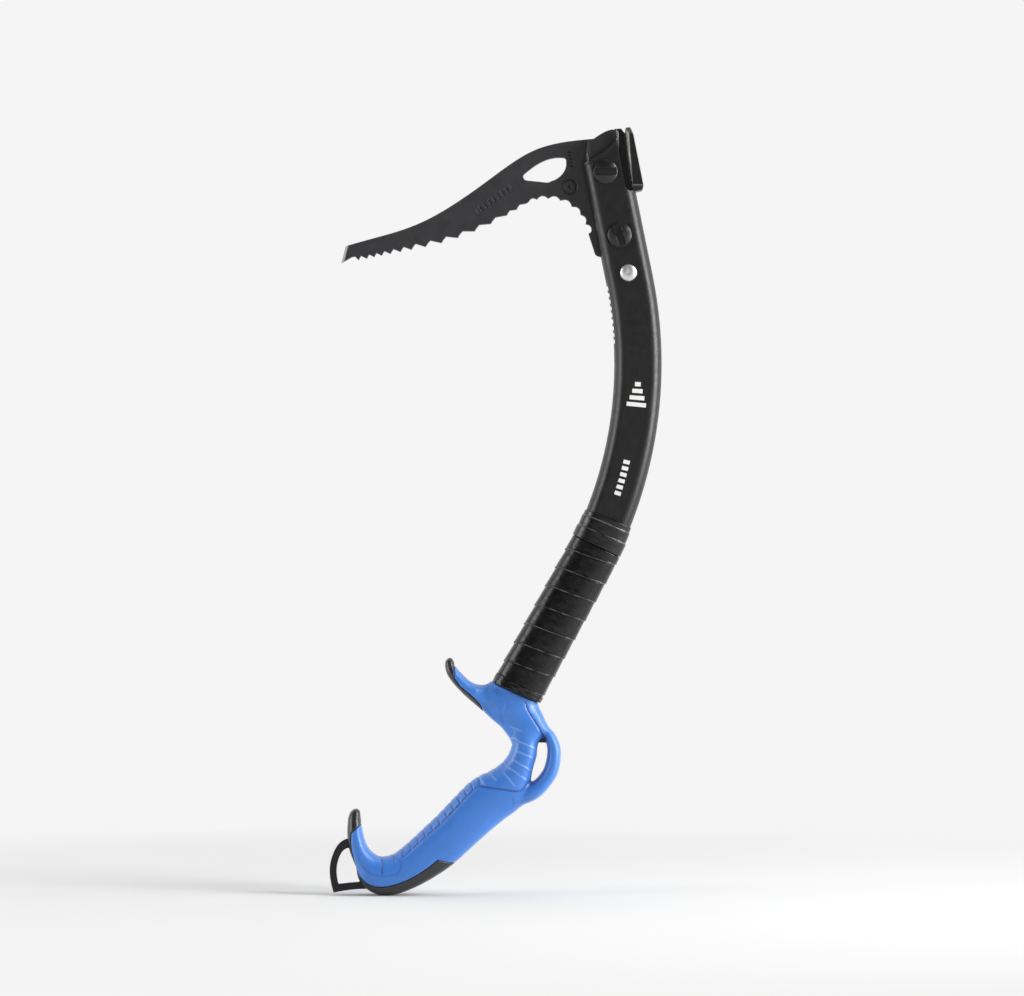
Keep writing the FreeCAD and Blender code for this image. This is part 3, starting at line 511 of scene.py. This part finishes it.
def tape_edge_highlights(s, w):
    """Painted highlight on each turn's edge, broken up along its length."""
    phase = turn_phase(s, w)
    broken = np.clip(0.65 + 0.5 * waves(s, w, 14.0, 0.08), 0, 1)
    return np.exp(-((phase - 0.01) / 0.022) ** 2) * broken


def wrap_height(s, w):
    seam_drop = 1 - step_up(RING_TOP - 0.1 - s, 0.4)
    top_drop = 1 - step_up(s - TAPE_END - 0.1, 0.4)
    return SUNK + (tape_relief(s, w) - SUNK) * seam_drop * top_drop


BAND_LINES = ((BAND_END - 3.5, 0.4, 0.45), (BAND_END - 10.5, -0.9, 0.5))     # station, phase, step


def band_height(s, w):
    low = TAPE_END + 0.3
    top = BAND_END + 0.2 * np.sin(2 * math.pi * w)
    fat = 0.7
    for at, phase, step in BAND_LINES:
        fat = fat + step * step_up(at + 0.35 * np.sin(2 * math.pi * w + phase) - s, 0.5)
    fat = fat + 0.03 * waves(s, w, 7.0, 0.08)
    return SUNK + (fat - SUNK) * step_up(s - low, 0.4) * step_up(top - s, 0.5)


def band_step_highlights(s, w):
    """Painted highlights on the band's steps."""
    broken = np.clip(0.6 + 0.5 * waves(s, w, 14.0, 0.08), 0, 1)
    lines = sum(np.exp(-((s - at - 0.35 * np.sin(2 * math.pi * w + phase)) / 0.3) ** 2)
                for at, phase, _ in BAND_LINES)
    return lines * broken


def ring_height(s, w):
    fat = 1.5 + 0.2 * step_up(s - 14.0 - 1.5 * np.sin(2 * math.pi * w + 2.6), 0.6)
    fat = fat + 0.09 * waves(s, w, 5.0, 0.05)
    return SUNK + (fat - SUNK) * step_up(RING_TOP - 0.2 - s, 0.4)


# the three calls draw from rng in this order
wrap = sleeve("grip_tape_wrap", np.arange(RING_TOP - 1.0, TAPE_END + 0.6, 0.27), wrap_height,
              tape_black, tape_edge_highlights)
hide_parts("grip_tape")
band = sleeve("finishing_tape_wrap", np.arange(TAPE_END - 1.2, BAND_END + 1.6, 0.25), band_height,
              tape_gloss, band_step_highlights)
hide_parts("finishing_tape")
end_ring = sleeve("tape_end_ring_wrap", np.arange(4.0, RING_TOP + 0.3, 0.3), ring_height, tape_black)
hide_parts("tape_end_ring")


# ================================================================ moulded grip
def grid_axis(low, high):
    return np.arange(low, high + VOXEL, VOXEL)


GX = grid_axis(-71.0, 68.5)
GY = grid_axis(-14.2, 14.2)
GZ = grid_axis(-42.5, 109.5)
PX, PZ = np.meshgrid(GX, GZ, indexing="ij")


def evened(field, passes=3):
    """The field with its finest unevenness averaged away."""
    for _ in range(passes):
        for axis in range(3):
            field = 0.5 * field + 0.25 * (np.roll(field, 1, axis) + np.roll(field, -1, axis))
    return field


def limb_field(rows, per=6, blur=3.0):
    """Field of a rounded limb, in millimetres near its surface, over the whole grid."""
    dense = hermite(rows, per)
    front, back, half = dense[:, :2], dense[:, 2:4], dense[:, 4]
    centre = (front + back) / 2
    width = np.linalg.norm(front - back, axis=1) / 2
    edge = np.minimum(line_distance(front, PX, PZ), line_distance(back, PX, PZ))
    edge = np.where(in_polygon(np.concatenate([front, back[::-1]]), PX, PZ), edge, -edge)
    near = np.full(PX.shape, 1e9)
    for c in centre:
        near = np.minimum(near, (PX - c[0]) ** 2 + (PZ - c[1]) ** 2)
    weight = np.zeros(PX.shape)
    wide = np.zeros(PX.shape)
    thick = np.zeros(PX.shape)
    for c, a, h in zip(centre, width, half):
        k = np.exp(-((PX - c[0]) ** 2 + (PZ - c[1]) ** 2 - near) / (2 * blur ** 2))
        weight += k
        wide += k * a
        thick += k * h
    wide /= weight
    thick /= weight
    a = np.maximum(1 - edge / wide, 0) ** GRIP_POWER
    y = (np.abs(GY)[None, :, None] / thick[:, None, :]) ** GRIP_POWER
    size = np.minimum(wide, thick)[:, None, :]
    return evened(((a[:, None, :] + y) ** (1 / GRIP_POWER) - 1) * size).astype(np.float32)


def groove(points, depth, width):
    """Depth map of a moulded line."""
    d = line_distance(np.asarray(points, float), PX, PZ)
    return depth * np.exp(-(d / width) ** 2)


def moulded_lines():
    """Depth of the grooves, strength of the neck's raised lines, which also sets their painted highlight,
    and the painted shade in the grooves.
    """
    cut = np.zeros(PX.shape)
    for line, depth in ((PANEL_LINE, GROOVE), (REAR_LINE, GROOVE), (HOOK_LINE, GROOVE_FAINT),
                        (HOOK_CUT, GROOVE)):
        cut = np.maximum(cut, groove(hermite(line, 6), depth, GROOVE_WIDE))
    raised = np.zeros(PX.shape)
    for line in NECK_LINES:
        raised = np.maximum(raised, groove(line, 1.0, NECK_WIDE))
    front = hermite(PALM, 10)[:, :2]
    run = np.concatenate([[0], np.cumsum(np.linalg.norm(np.diff(front, axis=0), axis=1))])
    start = run[np.argmin(np.linalg.norm(front - RIB_FROM, axis=1))]
    for k in range(RIB_COUNT):
        at = np.array([np.interp(start + k * RIB_PITCH, run, front[:, i]) for i in (0, 1)])
        on = np.array([np.interp(start + k * RIB_PITCH + 0.5, run, front[:, i]) for i in (0, 1)]) - at
        on /= np.linalg.norm(on)
        inward = np.array([-on[1], on[0]]) + 0.25 * on
        reach = RIB_SHORT if k < SHORT_RIBS else RIB_LONG
        cut = np.maximum(cut, groove([at - inward, at + inward * reach], RIB_DEEP, GROOVE_WIDE))
    # the painted shade in the grooves is weaker near the front edge, where the notches are lit
    shade_eased_where_lit = np.where(line_distance(front[:: 4], PX, PZ) < 5.2, 0.55, 1.0)
    return cut, raised, np.minimum(cut / GROOVE, 1.0) * shade_eased_where_lit


def build_grip():
    """The three moulded pieces, cut out of one field so that they meet at narrow seams."""
    over_seam = above_seam(PX, PZ)
    palm = soft_max(limb_field(PALM), over_seam[:, None, :].astype(np.float32), 0.9)
    body = soft_min(palm, limb_field(STRAP), 2.6)
    body = soft_min(body, limb_field(TRIGGER), 3.4)

    # dark is the painted shade in the grooves and notches
    cut, raised, dark = moulded_lines()
    inside = np.clip(-body[:, len(GY) // 2, :] / 3.0, 0, 1)
    facet = line_distance(FACET_LINE, PX, PZ) * in_polygon(np.array(FACET_FIELD), PX, PZ)
    dip = FACET_DEEP * np.minimum(facet, FACET_RUN) * (1 - np.clip((facet - FACET_RUN) / FACET_FADE, 0, 1))
    cut = cut + dip * inside - NECK_HIGH * raised
    body = body + cut[:, None, :].astype(np.float32)

    shell_edge = np.concatenate([SHELL_EDGE[:2], hermite(SHELL_EDGE[2:11], 6), SHELL_EDGE[11:], SHELL_REST])
    shell = signed_distance(shell_edge, PX, PZ)
    insert = signed_distance(np.concatenate([INSERT_EDGE, INSERT_REST]), PX, PZ)
    shell = shell[:, None, :].astype(np.float32)
    insert = insert[:, None, :].astype(np.float32)
    blue = soft_max(soft_max(body, SEAM_GAP - shell, 0.5), SEAM_GAP - insert, 0.5)
    shell_field = soft_max(body, shell + SEAM_GAP, 0.5)
    insert_field = soft_max(body, insert + SEAM_GAP, 0.5)
    for node, field, material in (("rubber_grip", blue, rubber), ("pommel_shell", shell_field, nylon_gloss),
                                  ("trigger_insert", insert_field, nylon_gloss)):
        verts, faces = surface_net(field, (GX[0], GY[0], GZ[0]), VOXEL)
        verts = relaxed(verts, faces)
        piece = add_mesh(node + "_skin", verts, faces, material)
        column = np.clip(np.rint((verts[:, 0] - GX[0]) / VOXEL).astype(int), 0, len(GX) - 1)
        level = np.clip(np.rint((verts[:, 2] - GZ[0]) / VOXEL).astype(int), 0, len(GZ) - 1)
        # painted highlight on the raised lines, painted shade in the grooves
        for layer_name, values in ((HIGHLIGHT_LAYER, raised), (GROOVE_SHADE_LAYER, dark)):
            point_layer(piece, layer_name, values[column, level].astype(np.float32))
        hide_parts(node)


build_grip()


# ================================================================ CAD nodes with softened edges
MERGE_DIST = 2e-6               # metres
FLAT_ANGLE = 0.3                # degrees; faces closer than this are joined
FOLD_ANGLE = 32.0               # edges that fold more are rounded
SHARP_ANGLE = 28.0              # edges that fold more keep their crease in the shading


def softened(node, width, material, body=BODY, edge=None):
    """A copy of a CAD node with small rounded edges, width millimetres wide, which stands for it.

    edge is the lighter material of the rounded edges and of the slanting ground facets: a painted highlight
    on the rounded edges, and bare ground steel on the pick's facets.
    """
    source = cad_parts[node]
    mesh = source.data.copy()
    mesh.materials.clear()
    mesh.materials.append(material)
    if edge:
        mesh.materials.append(edge)
    bm = bmesh.new()
    bm.from_mesh(mesh)
    bmesh.ops.remove_doubles(bm, verts=bm.verts, dist=MERGE_DIST)
    bmesh.ops.dissolve_limit(bm, angle_limit=math.radians(FLAT_ANGLE), verts=bm.verts, edges=bm.edges)
    if edge:
        for face in bm.faces:
            face.material_index = int(0.5 < abs(face.normal.y) < 0.97 and face.normal.x < -0.3)

    limit = math.radians(FOLD_ANGLE)
    folds = [e for e in bm.edges if len(e.link_faces) == 2 and e.calc_face_angle(0) > limit]
    bmesh.ops.bevel(bm, geom=folds, offset=width * MM, offset_type="OFFSET", segments=2, profile=0.5,
                    affect="EDGES", clamp_overlap=False, miter_outer="SHARP", miter_inner="SHARP",
                    material=1 if edge else -1)
    bm.normal_update()
    bm.to_mesh(mesh)
    bm.free()
    mesh.validate()
    mesh.polygons.foreach_set("use_smooth", np.ones(len(mesh.polygons), bool))
    mesh.set_sharp_from_angle(angle=math.radians(SHARP_ANGLE))
    obj = bpy.data.objects.new(node + "_finished", mesh)
    bpy.context.scene.collection.objects.link(obj)
    weights = obj.modifiers.new("weights", "WEIGHTED_NORMAL")
    weights.keep_sharp = True
    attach(obj, body)
    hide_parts(node)
    return obj


# lean of the surface's shading, in degrees, against the distance from the section's middle
PANEL_SHADE = ((0.0, 0.0), (PANEL_HALF, 0.0), (NOSE_AT, 18.0), (10.7, 34.0), (12.0, 47.0))
PANEL_CUTS = range(300, 428, 6)         # heights, in millimetres, where long faces are cut for finer shading


def blend_panels(obj):
    """Soft shading over the creases between the shaft's side panels and its rounded edges.

    It cuts long faces and changes normals. The surface stays where it is.
    """
    obj.modifiers.clear()
    mesh = obj.data
    bm = bmesh.new()
    bm.from_mesh(mesh)
    for level in PANEL_CUTS:
        bmesh.ops.bisect_plane(bm, geom=bm.verts[:] + bm.edges[:] + bm.faces[:], dist=1e-7,
                               plane_co=(0, 0, level * MM), plane_no=(0, 0, 1))
    bm.to_mesh(mesh)
    bm.free()
    co = np.empty(len(mesh.vertices) * 3)
    mesh.vertices.foreach_get("co", co)
    x, y, z = co.reshape(-1, 3).T / MM
    angle = np.arctan2(z - SHAFT_C[1], x - SHAFT_C[0])
    angle = np.clip(angle, -math.radians(LEAN_LOW), math.radians(LEAN_TOP))
    n = (x - SHAFT_C[0]) * np.cos(angle) + (z - SHAFT_C[1]) * np.sin(angle) - SHAFT_R
    depth = np.abs(n)
    plain = np.interp(depth, (0.0, PANEL_HALF, NOSE_AT), (PANEL_Y, PANEL_Y, SHAFT_B))
    on_side = (depth <= NOSE_AT + 0.02) & (np.abs(np.abs(y) - plain) < 0.06)
    nose = ((depth - NOSE_AT) / (SHAFT_A - NOSE_AT)) ** 2 + (y / SHAFT_B) ** 2
    on_nose = (depth >= NOSE_AT - 0.02) & (np.abs(nose - 1) < 0.04)
    shade = np.radians(np.interp(depth, *zip(*PANEL_SHADE)))
    slope = np.arctan2(np.maximum(depth - NOSE_AT, 0) / (SHAFT_A - NOSE_AT) ** 2, np.abs(y) / SHAFT_B ** 2)
    lean = np.where(on_side, shade, np.maximum(slope, shade))
    zero = np.zeros(len(x))
    across = np.stack([np.cos(angle), zero, np.sin(angle)], 1) * (np.sin(lean) * np.sign(n))[:, None]
    wanted = across + np.stack([zero, np.cos(lean) * np.sign(y), zero], 1)
    known = on_side | on_nose
    normals = [c.vector.copy() for c in mesh.corner_normals]
    for face in mesh.polygons:
        corners = list(face.vertices)
        if abs(face.normal.y) > 0.999:
            for loop in face.loop_indices:
                normals[loop] = face.normal
        elif known[corners].all() and Vector(wanted[corners].mean(0)).dot(face.normal) > 0.8:
            for loop, v in zip(face.loop_indices, corners):
                normals[loop] = Vector(wanted[v])
    mesh.normals_split_custom_set(normals)


STAMP_RING = (70.8, 398.7)      # middle, x z
RING_R, RING_HALF, DOT_R = 4.3, 0.7, 1.1
# centre, angle, length, height, pitch and bar width of each row of bars
STAMP_ROWS = (((24.0, 391.0), 36.0, 26.0, 3.6, 3.3, 1.5), ((71.6, 416.0), 100.0, 11.0, 2.4, 2.2, 1.0))
STAMP_DEEP = 0.0006             # metres
# how strongly the stamped recesses are painted darker as shade
STAMP_SHADE = 0.7


def stamp_marks(nodes, links, where, colour, normal):
    """Shallow plain stamping on the pick: rows of bars and one ring, with no lettering, and painted shade in
    the recesses.
    """
    axes = nodes.new("ShaderNodeSeparateXYZ")
    links.new(where, axes.inputs[0])

    def math_node(kind, a, b=None, c=None):
        """Math node over numbers and sockets."""
        n = nodes.new("ShaderNodeMath")
        n.operation = kind
        for i, v in enumerate((a, b, c)):
            if v is None:
                continue
            if isinstance(v, (int, float)):
                n.inputs[i].default_value = v
            else:
                links.new(v, n.inputs[i])
        return n.outputs[0]

    def within(value, limit, soft=0.25 * MM):
        """1 below the limit and 0 above it, with a soft edge."""
        n = nodes.new("ShaderNodeMapRange")
        n.interpolation_type = "SMOOTHSTEP"
        n.inputs["From Min"].default_value = limit - soft
        n.inputs["From Max"].default_value = limit + soft
        n.inputs["To Min"].default_value = 1.0
        n.inputs["To Max"].default_value = 0.0
        links.new(value, n.inputs["Value"])
        return n.outputs["Result"]

    def bars(centre, angle, length, height, pitch, bar):
        """Row of upright bars, all sizes in millimetres."""
        c, s = math.cos(math.radians(angle)), math.sin(math.radians(angle))
        x = math_node("SUBTRACT", axes.outputs[0], centre[0] * MM)
        z = math_node("SUBTRACT", axes.outputs[2], centre[1] * MM)
        u = math_node("ADD", math_node("MULTIPLY", x, c), math_node("MULTIPLY", z, s))
        v = math_node("SUBTRACT", math_node("MULTIPLY", z, c), math_node("MULTIPLY", x, s))
        cell = math_node("WRAP", u, pitch * MM / 2, -pitch * MM / 2)
        mask = math_node("MULTIPLY", within(math_node("ABSOLUTE", cell), bar * MM / 2),
                         within(math_node("ABSOLUTE", v), height * MM / 2))
        return math_node("MULTIPLY", mask, within(math_node("ABSOLUTE", u), length * MM / 2))

    x = math_node("SUBTRACT", axes.outputs[0], STAMP_RING[0] * MM)
    z = math_node("SUBTRACT", axes.outputs[2], STAMP_RING[1] * MM)
    reach = math_node("SQRT", math_node("ADD", math_node("POWER", x, 2.0), math_node("POWER", z, 2.0)))
    ring = within(math_node("ABSOLUTE", math_node("SUBTRACT", reach, RING_R * MM)), RING_HALF * MM)
    height = math_node("MAXIMUM", ring, within(reach, DOT_R * MM))
    for row in STAMP_ROWS:
        height = math_node("MAXIMUM", height, bars(*row))
    bump = nodes.new("ShaderNodeBump")
    bump.invert = True
    bump.inputs["Strength"].default_value = 1.0
    bump.inputs["Distance"].default_value = STAMP_DEEP
    links.new(height, bump.inputs["Height"])
    links.new(normal, bump.inputs["Normal"])
    # painted shade in the stamped recesses
    recess_shade = nodes.new("ShaderNodeMix")
    recess_shade.data_type = "RGBA"
    recess_shade.inputs["B"].default_value = (0.006, 0.006, 0.006, 1)
    links.new(math_node("MULTIPLY", height, STAMP_SHADE), recess_shade.inputs["Factor"])
    links.new(colour, recess_shade.inputs["A"])
    return recess_shade.outputs["Result"], bump.outputs["Normal"]


pick_steel = finish("pick_steel", srgb(52, 52, 54), 0.46, metallic=0.35, grain=(1700.0, 0.2), vary=0.12,
                    vary_scale=70.0, rough_vary=0.07, extra=stamp_marks)
# the pick's rounded edges take a painted highlight, its ground facets bare steel
softened("pick", 0.3, pick_steel, edge=pick_ground_and_highlight)
# the hammer's rounded edges take a painted highlight
softened("hammer", 0.4, hammer_steel, edge=hammer_edge_highlight)
blend_panels(softened("shaft_tube", 0.25, shaft_paint))


def turned(name, at, profile, material, count=72):
    """Round piece across the axe from rows of radius and y, closed on its axis."""
    r, y = np.asarray(profile, float).T
    turn = np.linspace(0, 2 * math.pi, count, endpoint=False)
    verts = np.stack([at[0] + np.outer(r, np.cos(turn)), np.outer(y, np.ones(count)),
                      at[1] + np.outer(r, np.sin(turn))], -1).reshape(-1, 3)
    ends = [list(range(count))[::-1], [len(verts) - count + c for c in range(count)]]
    return add_mesh(name, verts, round_faces(len(r), count).tolist() + ends, material)


RIVET = (107.0, 345.0)          # x z
RIVET_R = 5.3
RIVET_LIFT = 0.05               # the heads stand this far off the panels
SHANK_R = 3.0
DOME_HIGH = 2.3
DOME_POWER = 2.2
DIMPLE_DEEP = 0.22
DIMPLE_R = 1.3


def build_rivet():
    """Two domed heads with a shallow dimple, joined by a shank across the axe."""
    reach = np.linspace(0.02, 1.0, 30)
    rise = DOME_HIGH * (1 - reach ** DOME_POWER) ** (1 / DOME_POWER)
    rise = rise - DIMPLE_DEEP * np.exp(-(reach * RIVET_R / DIMPLE_R) ** 2)
    half = np.stack([reach * RIVET_R, -(PANEL_Y + RIVET_LIFT + rise)], 1)
    half = np.concatenate([half, [(SHANK_R, -PANEL_Y - RIVET_LIFT)]])
    rivet = turned("head_rivet_turned", RIVET, np.concatenate([half, (half * [1, -1])[::-1]]), rivet_steel)
    rivet.data.set_sharp_from_angle(angle=math.radians(50))
    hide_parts("head_rivet")


build_rivet()
softened("spike_hoop", 0.25, hoop_steel)
for node in ("head_cheek_near", "head_cheek_far"):
    softened(node, 0.25, cheek_paint)
for end in ("upper", "lower"):
    softened(end + "_pick_bolt", 0.22, bolt_black, body=end + "_bolt")
    softened(end + "_pick_nut", 0.2, bolt_black)

# these stay as the CAD has them and only take a material
for node, material in (("handle_core", nylon), ("hoop_pins", pin_steel), ("shaft_pins", pin_steel)):
    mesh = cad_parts[node].data
    for i in range(len(mesh.materials)):
        mesh.materials[i] = material


# ================================================================ printed marks
PRINT_LIFT = 0.05
BADGE_FROM, BADGE_PITCH, BADGE_BAR = 208.0, 4.2, 2.6
BADGE_HALF, BADGE_TAPER = 6.0, 1.4
BADGE_COUNT = 4
ROW_FROM, ROW_PITCH, ROW_BAR = 152.0, 4.0, 2.4
ROW_HALF = 2.0
ROW_COUNT = 6
FRONT_FROM, FRONT_PITCH, FRONT_COUNT = 248.0, 4.4, 9
FRONT_DASH = 0.55               # printed share of each pitch
FRONT_ARC = (62, 118)           # degrees round the front edge, which lies at 90


def panel_mark(name, runs):
    """Thin white bars on the near side panel; each run is (station from, to, n from, to)."""
    verts, faces = [], []
    for s0, s1, n0, n1 in runs:
        s = np.linspace(s0, s1, max(2, int(abs(s1 - s0) / 1.5) + 2))
        centre, up = station(s)
        across = np.stack([up[:, 1], -up[:, 0]], 1)
        base = len(verts)
        for n in (n0, n1):
            at = centre + across * n
            verts += [(x, -PANEL_Y - PRINT_LIFT, z) for x, z in at]
        m = len(s)
        faces += [(base + i, base + m + i, base + m + i + 1, base + i + 1) for i in range(m - 1)]
    add_mesh(name, verts, faces, print_white, smooth=False)


def badge_run(k):
    start, half = BADGE_FROM + BADGE_PITCH * k, BADGE_HALF - BADGE_TAPER * k
    return start, start + BADGE_BAR, -half, half


def row_run(k):
    start = ROW_FROM + ROW_PITCH * k
    return start, start + ROW_BAR, -ROW_HALF, ROW_HALF


panel_mark("print_badge", [badge_run(k) for k in range(BADGE_COUNT)])
panel_mark("print_row", [row_run(k) for k in range(ROW_COUNT)])


def front_mark(name, s0, pitch, count, steps=8):
    """Small white dashes on the shaft's front edge."""
    verts, faces = [], []
    t = np.radians(np.linspace(*FRONT_ARC, steps + 1))
    for k in range(count):
        s = np.array([s0 + k * pitch, s0 + k * pitch + FRONT_DASH * pitch])
        centre, up = station(s)
        across = np.stack([up[:, 1], -up[:, 0]], 1)
        base = len(verts)
        for i in range(2):
            for a in t:
                n = -NOSE_AT - (SHAFT_A - NOSE_AT + PRINT_LIFT) * math.sin(a)
                y = -(SHAFT_B + PRINT_LIFT) * math.cos(a)
                verts.append((centre[i, 0] + across[i, 0] * n, y, centre[i, 1] + across[i, 1] * n))
        over = base + steps + 1
        faces += [(base + j, base + j + 1, over + j + 1, over + j) for j in range(steps)]
    add_mesh(name, verts, faces, print_white)


front_mark("print_front_row", FRONT_FROM, FRONT_PITCH, FRONT_COUNT)


# ================================================================ studio
CENTRE_X, CENTRE_Z = 35.0, 205.8        # middle of the view
VIEW_WIDTH = 634.9
CAMERA_AWAY = 3.0               # metres
SENSOR = 36.0
FLOOR_Z = -40.3
FLOOR_SIZE = 40.0               # metres
FADE_NEAR, FADE_FAR = 0.2, 0.65         # metres from the axe over which the paper turns into backdrop
PALE = 0.913                    # backdrop and floor
PAPER = 0.71
FRONT_FILL = 0.10               # how bright the studio is behind the camera
FILL_FROM, FILL_TO = -0.35, 0.45        # the change from that to PALE, along Y


def floor_paper():
    """Paper that takes shadows near the axe and glows like the backdrop further out."""
    mat = bpy.data.materials.new("floor_paper")
    mat.use_nodes = True
    nodes, links = mat.node_tree.nodes, mat.node_tree.links
    nodes.clear()
    out = nodes.new("ShaderNodeOutputMaterial")
    glow = nodes.new("ShaderNodeEmission")
    glow.inputs["Color"].default_value = (PALE, PALE, PALE, 1)
    paper = nodes.new("ShaderNodeBsdfDiffuse")
    paper.inputs["Color"].default_value = (PAPER, PAPER, PAPER, 1)
    blend = nodes.new("ShaderNodeMixShader")
    where = nodes.new("ShaderNodeTexCoord")
    reach = nodes.new("ShaderNodeVectorMath")
    reach.operation = "LENGTH"
    fade = nodes.new("ShaderNodeMapRange")
    fade.inputs["From Min"].default_value = FADE_NEAR
    fade.inputs["From Max"].default_value = FADE_FAR
    fade.inputs["To Min"].default_value = 0.0
    fade.inputs["To Max"].default_value = 1.0
    links.new(where.outputs["Object"], reach.inputs[0])
    links.new(reach.outputs["Value"], fade.inputs["Value"])
    links.new(fade.outputs["Result"], blend.inputs[0])
    links.new(paper.outputs[0], blend.inputs[1])
    links.new(glow.outputs[0], blend.inputs[2])
    links.new(blend.outputs[0], out.inputs["Surface"])
    return mat


def light_world():
    """Pale studio behind the axe, dim behind the camera."""
    world = bpy.data.worlds.new("studio")
    bpy.context.scene.world = world
    world.use_nodes = True
    nodes, links = world.node_tree.nodes, world.node_tree.links
    sky = nodes["Background"]
    where = nodes.new("ShaderNodeTexCoord")
    axes = nodes.new("ShaderNodeSeparateXYZ")
    side = nodes.new("ShaderNodeMapRange")
    side.interpolation_type = "SMOOTHSTEP"
    side.inputs["From Min"].default_value = FILL_FROM
    side.inputs["From Max"].default_value = FILL_TO
    side.inputs["To Min"].default_value = FRONT_FILL
    side.inputs["To Max"].default_value = PALE
    links.new(where.outputs["Generated"], axes.inputs[0])
    links.new(axes.outputs[1], side.inputs["Value"])
    links.new(side.outputs["Result"], sky.inputs["Color"])


floor_mat = floor_paper()
bpy.ops.mesh.primitive_plane_add(size=FLOOR_SIZE, location=(0, 0, FLOOR_Z * MM))
floor = bpy.context.object
floor.name = "floor"
floor.data.materials.append(floor_mat)
light_world()


def soft_light(name, place, size, power, aim=(35.0, 0.0, 205.0)):
    """Rectangular soft box in watts; place and size are in metres, aim in millimetres."""
    data = bpy.data.lights.new(name, "AREA")
    data.shape = "RECTANGLE"
    data.size, data.size_y = size
    data.energy = power
    lamp = bpy.data.objects.new(name, data)
    bpy.context.scene.collection.objects.link(lamp)
    lamp.location = place
    lamp.rotation_euler = (Vector(aim) * MM - Vector(place)).to_track_quat("-Z", "Y").to_euler()


soft_light("left_box", (-1.6, -0.42, 0.5), (1.0, 1.5), 23.0)
soft_light("right_box", (1.7, -0.42, 0.15), (1.0, 1.2), 50.0)
soft_light("key", (1.2, -0.45, 1.0), (0.45, 0.45), 14.0, aim=(0.0, 0.0, 0.0))
soft_light("top_box", (0.2, 0.1, 1.8), (1.2, 0.9), 4.0)

camera_data = bpy.data.cameras.new("camera")
camera_data.sensor_width = SENSOR
camera_data.lens = SENSOR * CAMERA_AWAY / (VIEW_WIDTH * MM)
camera = bpy.data.objects.new("camera", camera_data)
bpy.context.scene.collection.objects.link(camera)
camera.location = (CENTRE_X * MM, -CAMERA_AWAY, CENTRE_Z * MM)
camera.rotation_euler = (math.radians(90), 0, 0)
bpy.context.scene.camera = camera
bpy.context.scene.view_settings.view_transform = "Standard"
